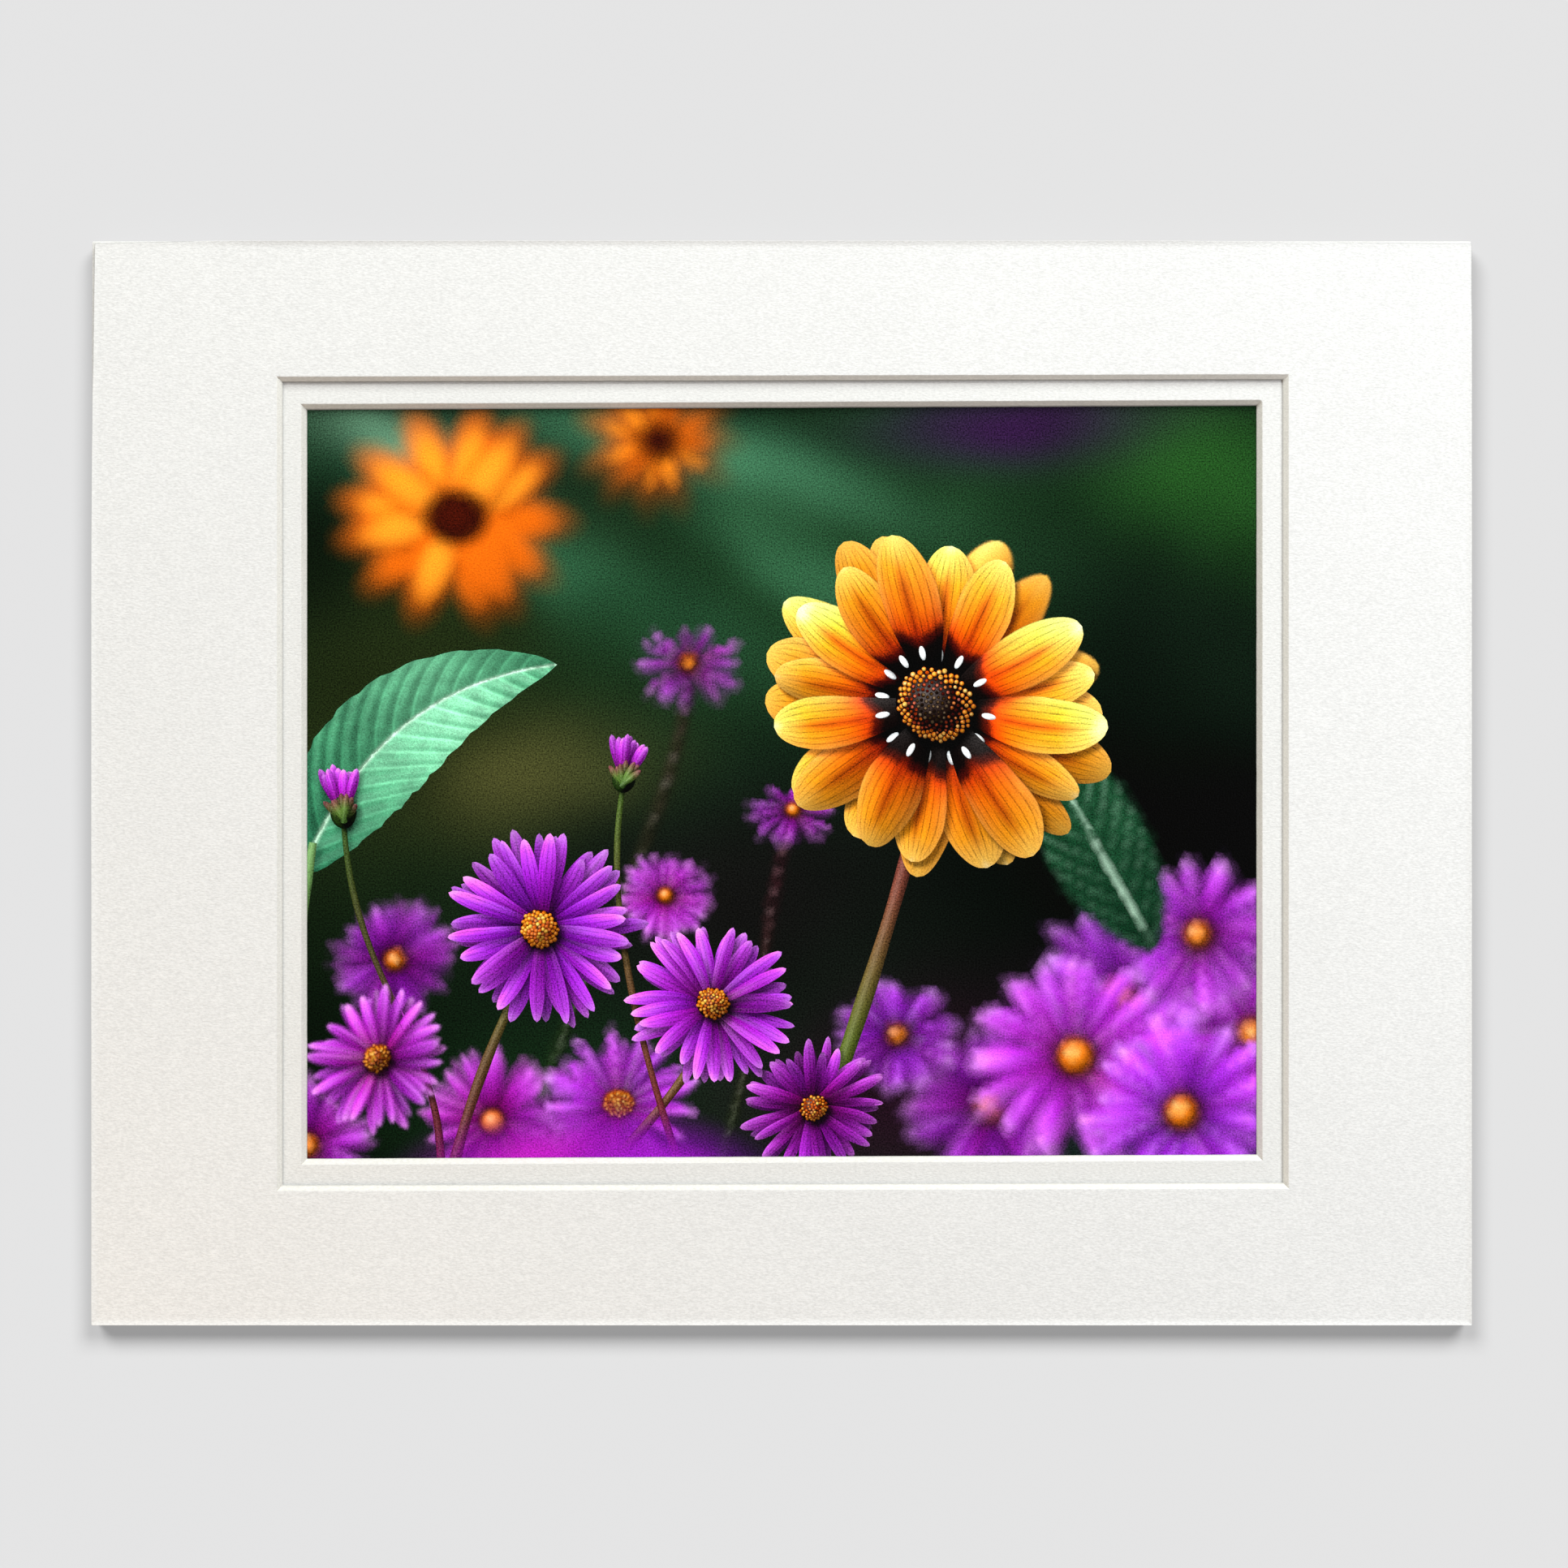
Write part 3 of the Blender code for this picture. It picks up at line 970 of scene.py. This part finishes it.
def addLeaf(controls, width, texts, blur=0.0, group=0, fold=0.45):
    colours = tones(*texts)

    def widthOf(t):
        scallops = 1 + sum(deep * np.sin(t * often) for deep, often in leaf["scallops"])
        return width * np.sin(np.clip(t, 0, 1) ** 0.8 * math.pi) ** 0.75 * scallops + 0.02

    def colourOf(t, v, y, total, side):
        phase = (t * total - np.abs(y) * (0.85 + 0.4 * np.abs(v))) / leaf["veinMm"]
        puff = np.sin(2 * math.pi * phase) * 0.22 * np.clip(np.abs(v) * 3, 0, 1)
        lean = -np.sign(y) * fold * (1 - 0.5 * np.abs(v)) + puff * np.sign(y)
        ahead = np.stack([side[:, 1], -side[:, 0]], axis=1)
        flat = side * lean[:, None] + ahead * (puff * 0.9 - 0.18 * np.cos(t * 3.0))[:, None]
        normal = np.column_stack([flat, np.ones(len(t))])
        colour = ramp(t, np.linspace(0, 1, len(colours)), colours)
        rib = np.exp(-(y / (0.28 + 0.3 * (1 - t))) ** 2)
        colour = blend(colour, leaf["rib"], 0.75 * rib)
        colour = colour * (0.74 + 0.4 * layeredNoise(t * total / 3.2, y / 2.4, 17))[:, None]
        colour = colour * (0.8 + 0.35 * layeredNoise(t * total / 16, y / 12, 18))[:, None]
        faint = (1 - 0.65 * v * v) * (0.35 + 0.9 * layeredNoise(t * total / 9, y / 9, 19))
        return normal, colour, 0.6 + 0 * t, leaf["vein"] * (1 - rib) * faint, phase, (0.7, 0.7)

    addStrip(controls, widthOf, colourOf, blur, group, 0.5, 44, crease=True)


def sepalColour(petal, u, v):
    colour = ramp(u, (0, 0.5, 1), tones("#4a6a34", "#6f8a4a", "#8a4a5a"))
    return colour * (1 + 0.2 * petal["tone"]), 0.5 + 0 * u, -0.3 + 0 * u, v * 1.5


def addBud(place, heading, size, blur, group, warmth=0.5):
    # a closed bud: a tuft of furled rays in a cup of narrow sepals
    for k in draw.permutation(9):
        petal = makePetal(place, np.eye(3), heading + (k - 4) * 5.5 + draw.uniform(-2, 2), size * 0.35,
                          size * draw.uniform(0.9, 1.15), size * 0.13, cup=0.9, tip=1.7, rise=0.1,
                          roll=draw.uniform(-0.5, 0.5), tone=draw.uniform(-1, 0.6), warmth=warmth)
        addPetal(petal, asterRayColour, blur, group, 0.4, 12)
    addBead(np.array(place) + size * 0.18 * wayAt(heading), (size * 0.42, size * 0.34), heading,
            tones("#5f7f3e", "#2c4420"), blur, group, 0.4, 22)
    for k in draw.permutation(7):
        petal = makePetal(place, np.eye(3), heading + (k - 3) * 15 + draw.uniform(-4, 4), -0.1 * size,
                          size * draw.uniform(0.6, 0.85), size * 0.1, cup=0.8, tip=1.5, rise=0.1,
                          tone=draw.uniform(-1, 1), warmth=0)
        addPetal(petal, sepalColour, blur, group, 0.4, 12)


def addBlurredDaisy(place, size, count, texts, blur):
    for k in draw.permutation(count):
        turn = 360 * k / count + draw.uniform(-8, 8)
        way = wayAt(turn) * (1, 0.88)
        shade = texts[0] if draw.random() > 0.4 else texts[1]
        addBead(np.array(place) + way * size * 0.56, (size * 0.46, size * 0.2), turn, tones(shade, texts[1]),
                blur, 0, 0.0, 24, flat=True)
    addSoftBead(place, (size * 0.3, size * 0.26), 0, texts[2:], blur * 0.8)


def addSoftBead(place, radii, angle, texts, blur):
    addBead(place, radii, angle, tones(*texts), blur, 0, 0.0, 24, flat=True)


farAsters = (
    # place, size, tone, blur
    ((88, -56), 24, 0.9, 4.2), ((122, -66), 22, 0.85, 4.0), ((54, -84), 22, 0.9, 3.4),
    ((76, -72), 28, 1.05, 2.6), ((108, -40), 20, 0.9, 3.4), ((104, -86), 26, 1.0, 3.0),
    ((30, -66), 15, 0.75, 3.2),
)
nearerAsters = (
    # place, size, blur, warmth
    ((-100, -46), 16, 2.0, 0.3), ((-74, -88), 20, 1.6, 0.7), ((-42, -84), 20, 1.5, 0.3),
    ((-122, -94), 18, 2.0, 0.5), ((-30, -30), 12, 1.7, 0.6),
)


def composePicture():
    # far away and blurred
    addBlurredDaisy((-84, 68), 27, 13, ("#f4a83c", "#dd7c1e", "#5a220a", "#2a1006"), 3.6)
    addBlurredDaisy((-32, 88), 15, 11, ("#e6942c", "#c06a16", "#4a1c08", "#2a1006"), 4.5)
    for place, size, dim, blur in farAsters:
        addAster(place, size, draw.uniform(0, 360), 25, 15, blur, 0, draw.uniform(0, 0.6), dim, 2)
    addStem(((-66, -100), (-60, -60), (-30, -20), (-24, 24)), 1.3, ("#2c4a26", "#4a3a34"), 2.2)
    addAster((-24, 30), 13, 90, 40, 12, 2.2, 0, 0.6, 0.85, 1)
    addStem(((-20, -110), (-4, -70), (-6, -40), (2, -12)), 1.0, ("#2c4a26", "#5a2a3c"), 1.8)
    addAster((3, -8), 11, 90, 46, 12, 1.7, 0, 0.5, 0.9, 1)
    # the big flower with its stem and leaves
    addLeaf(((96, -44), (84, -20), (70, 4), (58, 22)), 13, ("#1d4a34", "#2c6446", "#1a3c2a"), 1.6, 0)
    addStem(((6, -104), (16, -70), (30, -36), (39, 8)), 2.3,
            ("#54702f", "#6d7a3c", "#8a5a4a", "#7a2440"), 0, 2)
    addLeaf(((-124, -24), (-112, 6), (-92, 26), (-58, 30)), 14.5,
            ("#3a8064", "#62ab88", "#82c4a2", "#5fa482"), 0, 3)
    addStem(((-128, -60), (-124, -46), (-124, -34), (-121, -16)), 1.5, ("#6a8a4a", "#8ab07a"), 0, 3)
    addBigFlower()
    # asters behind the sharp ones
    for place, size, blur, warmth in nearerAsters:
        addAster(place, size, draw.uniform(0, 360), 28, 17, blur, 0, warmth, 0.85, 2)
    # asters in focus
    addStem(((-86, -106), (-82, -84), (-72, -60), (-62, -42)), 1.5, ("#7a1c44", "#6a7a3a"), 0, 4)
    addStem(((-52, -106), (-40, -96), (-30, -84), (-18, -66)), 1.4, ("#8c1840", "#6f6a3c"), 0, 4)
    addStem(((-88, -106), (-86, -66), (-110, -56), (-113, -12)), 1.0, ("#7a2044", "#4f6a34"), 0, 4)
    addBud((-113, -10), 96, 10, 0, 5)
    addStem(((-24, -106), (-38, -66), (-46, -30), (-41, -2)), 0.95, ("#8a1c44", "#5f7a3c"), 0, 4)
    addBud((-41, -1), 80, 9, 0, 5)
    addAster((-104, -72), 19, 150, 30, 19, 0.8, 6, 0.55, 0.9)
    addAster((8, -84), 19, 300, 30, 20, 0.0, 7, 0.5, 0.98)
    addAster((-18, -58), 22, 60, 24, 22, 0.0, 8, 0.2)
    addAster((-62, -38), 26, 215, 22, 24, 0.0, 9, 0.08, 1.05)
    # close to the lens
    addSoftBead((-56, -102), (30, 13), 4, ("#c43ac0", "#8a1f9a"), 9.0)
    addSoftBead((-30, -104), (24, 12), -8, ("#a832c4", "#7a1f9a"), 8.0)


# The sheet that carries it

def insideOutline(points, outline):
    inside = np.zeros(len(points), bool)
    x, y = points[:, 0], points[:, 1]
    for (x0, y0), (x1, y1) in zip(outline, np.roll(outline, -1, axis=0)):
        if y0 == y1:
            continue
        crosses = (y0 > y) != (y1 > y)
        inside ^= crosses & (x < x0 + (y - y0) * (x1 - x0) / (y1 - y0))
    return inside


def clipOutline(ring, half):
    # the part of an outline that lies on the sheet
    for axis, sign in ((0, 1), (0, -1), (1, 1), (1, -1)):
        kept = []
        limit = half[axis] - 0.02
        for a, b in zip(ring, np.roll(ring, -1, axis=0)):
            overA, overB = sign * a[axis] - limit, sign * b[axis] - limit
            if overA <= 0:
                kept.append(a)
            if (overA > 0) != (overB > 0):
                kept.append(a + (b - a) * overA / (overA - overB))
        if len(kept) < 3:
            return None
        ring = np.array(kept)
    apart = np.linalg.norm(ring - np.roll(ring, 1, axis=0), axis=1) > 0.004
    ring = ring[apart]
    return ring if len(ring) > 2 else None


def spread(mask, by):
    # grows a mask by so many cells
    for _ in range(by):
        grown = mask.copy()
        grown[1:] |= mask[:-1]
        grown[:-1] |= mask[1:]
        grown[:, 1:] |= mask[:, :-1]
        grown[:, :-1] |= mask[:, 1:]
        mask = grown
    return mask


def lattice(half, spacing, jitter, seed):
    rng = np.random.default_rng(seed)
    xs = np.arange(-half[0] + spacing, half[0] - spacing * 0.4, spacing)
    ys = np.arange(-half[1] + spacing, half[1] - spacing * 0.4, spacing * 0.866)
    x, y = np.meshgrid(xs, ys)
    x[1::2] += spacing / 2
    points = np.stack([x.ravel(), y.ravel()], axis=1)
    points += rng.uniform(-jitter, jitter, points.shape) * spacing
    return points[(np.abs(points) < half - 0.3).all(axis=1)]


meshing = {                 # mm
    "maskCell": 1.0,
    "fineBelowBlur": 1.2,   # shapes more blurred than this need no fine mesh
    "clearOfOutline": 0.34,
    "rimStep": 2.2,
    "sortCell": 4.0,
}


def pictureMesh(half):
    cell = meshing["maskCell"]
    columns, rows = int(2 * half[0] / cell) + 3, int(2 * half[1] / cell) + 3
    mask = np.zeros((rows, columns), bool)
    gx, gy = np.meshgrid(np.arange(columns) * cell - half[0], np.arange(rows) * cell - half[1])
    for layer in layers:
        if layer["blur"] > meshing["fineBelowBlur"]:
            continue
        x0, y0, x1, y1 = layer["box"]
        c0, c1 = max(0, int((x0 + half[0]) / cell)), min(columns, int((x1 + half[0]) / cell) + 2)
        r0, r1 = max(0, int((y0 + half[1]) / cell)), min(rows, int((y1 + half[1]) / cell) + 2)
        if c0 >= c1 or r0 >= r1:
            continue
        places = np.stack([gx[r0:r1, c0:c1].ravel(), gy[r0:r1, c0:c1].ravel()], axis=1)
        if layer["outline"] is None:
            hit = layer["cover"](places) < 1.0
        else:
            hit = insideOutline(places, layer["outline"])
        mask[r0:r1, c0:c1] |= hit.reshape(r1 - r0, c1 - c0)
    fine = spread(mask, 1)
    middle = spread(mask, 5)

    def maskAt(which, points):
        c = np.clip(np.round((points[:, 0] + half[0]) / cell).astype(int), 0, columns - 1)
        r = np.clip(np.round((points[:, 1] + half[1]) / cell).astype(int), 0, rows - 1)
        return which[r, c]

    sets, faces, edges, count = [], [], [], 0
    for layer in layers:
        if layer["outline"] is None:
            continue
        ring = clipOutline(layer["outline"], half)
        if ring is None:
            layer["face"] = None
            continue
        layer["face"] = len(faces)
        faces.append(list(range(count, count + len(ring))))
        sets.append(ring)
        count += len(ring)
        if layer["crease"] is not None:
            bend = np.clip(layer["crease"], -half + 0.02, half - 0.02)
            edges += [(count + k, count + k + 1) for k in range(len(bend) - 1)]
            sets.append(bend)
            count += len(bend)
    outlines = np.concatenate(sets)
    near = meshing["clearOfOutline"]
    taken = set(map(tuple, np.round(outlines / near).astype(int)))
    for spacing, keep, seed in ((picture["fineMm"], lambda p: maskAt(fine, p), 1),
                                (picture["middleMm"], lambda p: maskAt(middle, p) & ~maskAt(fine, p), 2),
                                (picture["coarseMm"], lambda p: ~maskAt(middle, p), 3)):
        points = lattice(half, spacing, 0.16, seed)
        points = points[keep(points)]
        free = [key not in taken for key in map(tuple, np.round(points / near).astype(int))]
        sets.append(points[np.array(free, bool)])
    rim = []
    sheetCorners = half * np.array([(-1, -1), (1, -1), (1, 1), (-1, 1)])
    for a, b in zip(sheetCorners, np.roll(sheetCorners, -1, axis=0)):
        n = int(np.abs(b - a).max() / meshing["rimStep"])
        rim.append(a + (b - a) * (np.arange(n) / n)[:, None])
    sets.append(np.concatenate(rim))
    flat = np.concatenate(sets)
    made = delaunay_2d_cdt([Vector(p) for p in flat], edges, faces, 0, 1e-5, True)
    points = np.array([tuple(v) for v in made[0]])
    triangles = np.array(made[2])
    owned = {}
    for number, owners in enumerate(made[5]):
        for owner in owners:
            owned.setdefault(owner, []).append(number)
    a, b, c = (points[triangles[:, k]] for k in range(3))
    turned = (b[:, 0] - a[:, 0]) * (c[:, 1] - a[:, 1]) - (b[:, 1] - a[:, 1]) * (c[:, 0] - a[:, 0]) < 0
    triangles[turned] = triangles[turned][:, ::-1]
    return points, triangles, owned


def paintPicture(points, triangles, owned, half):
    colour = paintGround(points)[triangles]                     # triangle, corner, channel
    streak = np.zeros(triangles.shape)
    vein = np.zeros(triangles.shape)
    strand = np.zeros((*triangles.shape, 3))
    strand[..., :2] = points[triangles] / 0.8
    strand[..., 2] = 0.5
    group = np.zeros(triangles.shape, int)
    centre = points[triangles].mean(axis=1)
    cell = meshing["sortCell"]
    columns = int(2 * half[0] / cell) + 2
    places = ((centre + half) // cell).astype(int)
    cellOf = places[:, 1] * columns + places[:, 0]
    order = np.argsort(cellOf, kind="stable")
    sortedCells = cellOf[order]
    lastRow = int(2 * half[1] / cell) + 1

    def trianglesIn(box):
        x0, y0, x1, y1 = box
        c0, c1 = max(0, int((x0 + half[0]) // cell)), min(columns - 1, int((x1 + half[0]) // cell))
        r0, r1 = max(0, int((y0 + half[1]) // cell)), min(lastRow, int((y1 + half[1]) // cell))
        runs = []
        for r in range(r0, r1 + 1):
            start = np.searchsorted(sortedCells, r * columns + c0)
            end = np.searchsorted(sortedCells, r * columns + c1, side="right")
            runs.append(order[start:end])
        found = np.concatenate(runs) if runs else np.zeros(0, int)
        inside = ((centre[found, 0] > x0) & (centre[found, 0] < x1)
                  & (centre[found, 1] > y0) & (centre[found, 1] < y1))
        return found[inside]

    shift = np.array(picture["shadowShift"])
    for layer in layers:
        blur = layer["blur"]
        x0, y0, x1, y1 = layer["box"]
        if x1 < -half[0] or x0 > half[0] or y1 < -half[1] or y0 > half[1]:
            continue
        if layer["shadow"] and layer["group"]:
            near = trianglesIn((x0 - 1.5, y0 - 3.2, x1 + 3, y1 + 1.5))
            near = near[(group[near] > 0).any(axis=1)]
            if len(near):
                ids, back = np.unique(triangles[near], return_inverse=True)
                back = back.reshape(-1, 3)
                distance = layer["cover"](points[ids] - shift)
                share = layer["shadow"] * smooth(1.5, -1.0, distance)
                share = share[back] * (group[near] > 0)
                colour[near] *= 1 - share[..., None]
        if layer["outline"] is not None:
            if layer["face"] is None:
                continue
            chosen = np.array(owned.get(layer["face"], []), int)
        else:
            chosen = trianglesIn((x0 - blur, y0 - blur, x1 + blur, y1 + blur))
        if not len(chosen):
            continue
        ids, back = np.unique(triangles[chosen], return_inverse=True)
        back = back.reshape(-1, 3)
        tone, newStreak, newStrand, newVein = layer["paint"](points[ids])
        if layer["outline"] is not None:
            colour[chosen], streak[chosen] = tone[back], newStreak[back]
            strand[chosen], vein[chosen], group[chosen] = newStrand[back], newVein[back], layer["group"]
            continue
        share = smooth(blur, -blur, layer["cover"](points[ids]))[back]
        colour[chosen] = blend(colour[chosen], tone[back], share)
        streak[chosen] = streak[chosen] * (1 - share)
        vein[chosen] = vein[chosen] * (1 - share)
        if layer["group"]:
            group[chosen] = np.where(share > 0.6, layer["group"], group[chosen])
    colour = picture["gain"] * np.clip(colour, 0, 2) ** picture["contrast"]
    return np.clip(colour, 0.0012, 1.1), streak, strand, vein


# Lustre photo paper: resin-coated base with a fine pebbled coat, the picture printed in pigment ink.
# The coat gives a soft broad gloss that lifts the blacks a little; the ink lies flat under it.

lustrePaper = {
    "roughness": 0.4,
    "ior": 1.5,             # the polyethylene coat
    "specular": 0.05,       # the pebbles scatter most of the coat's gloss, so blacks stay deep
    "pebbleMm": 0.4,        # drawn coarser than the real 0.2 mm, which is too fine to show
    "pebbleHigh": 0.08,
    "grainDark": 1.7,       # share that the pebbles swing the dark tones by, and the bright ones
    "grainBright": 0.5,
    "fibreSwing": 0.34,     # share that a strand swings the tone by
    "edgeHex": "#e9e9e5",
    "ripple": 0.04,
}


def lustrePhotoPaper(name):
    finish = lustrePaper
    material, tree, shader = newMaterial(name)
    place = addNode(tree, "TexCoord").outputs["Object"]
    ink = addNode(tree, "Attribute", {"attribute_name": "ink"}).outputs
    strand = addNode(tree, "Attribute", {"attribute_name": "strand"}).outputs["Vector"]
    vein = addNode(tree, "Attribute", {"attribute_name": "vein"}).outputs["Fac"]
    along, across, veinNumber = addNode(tree, "SeparateXYZ", None, {0: strand}).outputs

    # strands of the petals and leaves, drawn along them
    flatStrand = addNode(tree, "CombineXYZ", None, {0: along, 1: across})
    fibre = addNode(tree, "TexNoise", {"Scale": 1.0, "Detail": 3.0, "Roughness": 0.6}, {"Vector": flatStrand})
    reach = finish["fibreSwing"]
    fibreTone = addNode(tree, "MapRange", {"From Min": 0.25, "From Max": 0.75, "To Min": -reach,
                                           "To Max": reach}, {"Value": fibre})
    streak = addNode(tree, "Math", {"operation": "MULTIPLY"}, {0: fibreTone, 1: ink["Alpha"]})

    # veins stand where the third strand number is whole
    offVein = addNode(tree, "Math", {"operation": "PINGPONG", 1: 0.5}, {0: veinNumber})
    line = addNode(tree, "MapRange", {"From Min": 0.02, "From Max": 0.15, "To Min": 1.0, "To Max": 0.0},
                   {"Value": offVein})
    veinTone = addNode(tree, "Math", {"operation": "MULTIPLY"}, {0: line, 1: vein})

    # pebbles: they show in the tone as well as in the relief, lighter on their tops and darker between them
    pebble = addNode(tree, "TexNoise", {"Scale": 1 / (finish["pebbleMm"] * mm), "Detail": 1.0},
                     {"Vector": place})
    bright = addNode(tree, "RGBToBW", None, {0: ink["Color"]})
    swing = addNode(tree, "MapRange", {"From Min": 0.0, "From Max": 0.25, "To Min": 2 * finish["grainDark"],
                                       "To Max": 2 * finish["grainBright"]}, {"Value": bright})
    grain = addNode(tree, "Math", {"operation": "SUBTRACT", 1: 0.5}, {0: pebble})
    grain = addNode(tree, "Math", {"operation": "MULTIPLY"}, {0: grain, 1: swing})

    tone = addNode(tree, "Math", {"operation": "ADD", 1: 1.0}, {0: grain})
    for extra in (streak, veinTone):
        tone = addNode(tree, "Math", {"operation": "ADD"}, {0: tone, 1: extra})
    toned = addNode(tree, "VectorMath", {"operation": "SCALE"}, {0: ink["Color"], "Scale": tone})
    bump = addNode(tree, "Bump", {"Strength": 0.8, "Distance": finish["pebbleHigh"] * mm},
                   {"Height": pebble})
    fillNode(tree, shader, {"Roughness": finish["roughness"], "IOR": finish["ior"],
                            "Specular IOR Level": finish["specular"]}, {"Base Color": toned, "Normal": bump})
    return material


def makePrint():
    half = printSize / 2 - 0.02
    composePicture()
    print("picture composed of", len(layers), "shapes")
    points, triangles, owned = pictureMesh(half)
    print("picture mesh:", len(points), "points and", len(triangles), "triangles")
    colour, streak, strand, vein = paintPicture(points, triangles, owned, half)

    # the face with its picture, then the paper's white edge and back
    top = printHigh[2] - lustrePaper["ripple"] * layeredNoise(points[:, 0] / 45, points[:, 1] / 45, 21)
    vertices = np.column_stack([points + printMiddle, top])
    onRim = np.flatnonzero((np.abs(points) > half - 0.01).any(axis=1))
    rimTurn = np.arctan2(points[onRim, 1] / half[1], points[onRim, 0] / half[0])
    rim = onRim[np.argsort(rimTurn)]
    below = np.column_stack([points[rim] + printMiddle, np.full(len(rim), printLow[2] + 0.01)])
    start, count = len(vertices), len(rim)
    faces = [tuple(t) for t in triangles.tolist()]
    for k in range(count):
        following = (k + 1) % count
        faces.append((int(rim[k]), start + k, start + following, int(rim[following])))
    faces.append(tuple(reversed(range(start, start + count))))
    extra = 4 * count + count     # face corners of the edge and of the back
    ink = np.concatenate([np.concatenate([colour, streak[..., None]], axis=-1).reshape(-1, 4),
                          np.tile([*hexToLinear(lustrePaper["edgeHex"]), 0.0], (extra, 1))])
    strand = np.concatenate([strand.reshape(-1, 3), np.full((extra, 3), 0.5)])
    vein = np.concatenate([vein.reshape(-1), np.zeros(extra)])
    corners = {"ink": ("FLOAT_COLOR", "color", ink), "strand": ("FLOAT_VECTOR", "vector", strand),
               "vein": ("FLOAT", "value", vein)}
    return finishPiece("photoPrint", np.concatenate([vertices, below]), faces,
                       lustrePhotoPaper("lustrePhotoPaper"), "photo_print", corners=corners)


photoPrint = makePrint()
print("print made")


# Studio: a pale sweep that has its own soft light, as the photo's object was lit apart from its ground

studio = {
    "windowWatts": 28.4,
    "windowTint": "#fafffd",
    "windowSize": (1.4, 0.66),      # metres
    "windowDistance": 1.5,
    "windowElevation": 30.0,        # degrees above the sheet, from the picture's top
    "fillWatts": 4.2,
    "fillTint": "#f3f8ff",
    "fillPlace": (0.75, 0.0, 0.70),
    "fillSize": 0.5,
    "bounceWatts": 0.5,
    "bounceTint": "#ffe4c8",
    "bouncePlace": (-0.3, -0.38, 0.2),
    "bounceSize": 0.25,
    "roomTint": "#fff1e6",
    "roomLevel": 0.236,
    "floorSunLevel": 24.0,          # two broad suns for the floor, one from each side of the picture's top
    "floorSunSlope": (0.47, 0.73),  # how far each leans aside and ahead for a height of one
    "floorSunSpread": 26.0,         # degrees
    "floorTone": 0.04,              # dark and strongly lit, so that little stray light shows
    "floorGlow": 0.31,
    "floorReach": 4.0,              # metres
    "floorLevel": -0.00005,
    "lensMm": 100.0,
    "viewWidth": 0.4037,            # metres of the face that the photo's frame spans
    "viewCentre": (0.00062, -0.00025),
}


def receivers(name, objects):
    group = bpy.data.collections.new(name)
    for item in objects:
        group.objects.link(item)
    return group


def addLight(name, kind, watts, tint, place, group):
    # a light that looks at the part's middle and falls on one group alone
    lamp = bpy.data.lights.new(name, kind)
    lamp.energy = watts
    lamp.color = hexToLinear(tint)
    holder = bpy.data.objects.new(name, lamp)
    bpy.context.scene.collection.objects.link(holder)
    holder.location = place
    holder.rotation_euler = (Vector((0, 0, 0)) - Vector(place)).to_track_quat("-Z", "Y").to_euler()
    holder.light_linking.receiver_collection = group
    holder.visible_camera = False
    return lamp


def makeStudio():
    scene = bpy.context.scene
    floorMesh = bpy.data.meshes.new("floor")
    reach, level = studio["floorReach"], studio["floorLevel"]
    floorMesh.from_pydata([(-reach, -reach, level), (reach, -reach, level), (reach, reach, level),
                           (-reach, reach, level)], [], [(0, 1, 2, 3)])
    material, tree, shader = newMaterial("paintedSweep")
    tone = studio["floorTone"]
    fillNode(tree, shader, {"Base Color": (tone, tone, tone, 1), "Roughness": 1.0, "Specular IOR Level": 0.0,
                            "Emission Color": (1, 1, 1.01, 1), "Emission Strength": studio["floorGlow"]})
    floorMesh.materials.append(material)
    floor = bpy.data.objects.new("floor", floorMesh)
    scene.collection.objects.link(floor)

    part = receivers("litPart", [outerMat, innerMat, photoPrint, backingBoard])
    ground = receivers("litFloor", [floor])
    rise = math.radians(studio["windowElevation"])
    away = studio["windowDistance"]
    place = (0, away * math.cos(rise), away * math.sin(rise))
    window = addLight("softWindow", "AREA", studio["windowWatts"], studio["windowTint"], place, part)
    window.shape = "RECTANGLE"
    window.size, window.size_y = studio["windowSize"]
    for name in ("fill", "bounce"):
        soft = addLight(name, "AREA", studio[name + "Watts"], studio[name + "Tint"],
                        studio[name + "Place"], part)
        soft.size = studio[name + "Size"]
    aside, ahead = studio["floorSunSlope"]
    for name, side in (("floorSunLeft", -1), ("floorSunRight", 1)):
        sun = addLight(name, "SUN", studio["floorSunLevel"], "#ffffff", (side * aside, ahead, 1), ground)
        sun.angle = math.radians(studio["floorSunSpread"])

    room = bpy.data.worlds.new("room")
    room.use_nodes = True
    fillNode(room.node_tree, room.node_tree.nodes["Background"],
             {"Color": (*hexToLinear(studio["roomTint"]), 1), "Strength": studio["roomLevel"]})
    scene.world = room

    camera = bpy.data.cameras.new("camera")
    camera.lens = studio["lensMm"]
    camera.sensor_width = 36.0
    camera.clip_end = 50
    holder = bpy.data.objects.new("camera", camera)
    scene.collection.objects.link(holder)
    height = camera.lens * studio["viewWidth"] / camera.sensor_width
    holder.location = (*studio["viewCentre"], boardHigh[2] * mm + height)
    scene.camera = holder
    scene.view_settings.view_transform = "Standard"
    scene.view_settings.look = "None"


makeStudio()
print("studio set")
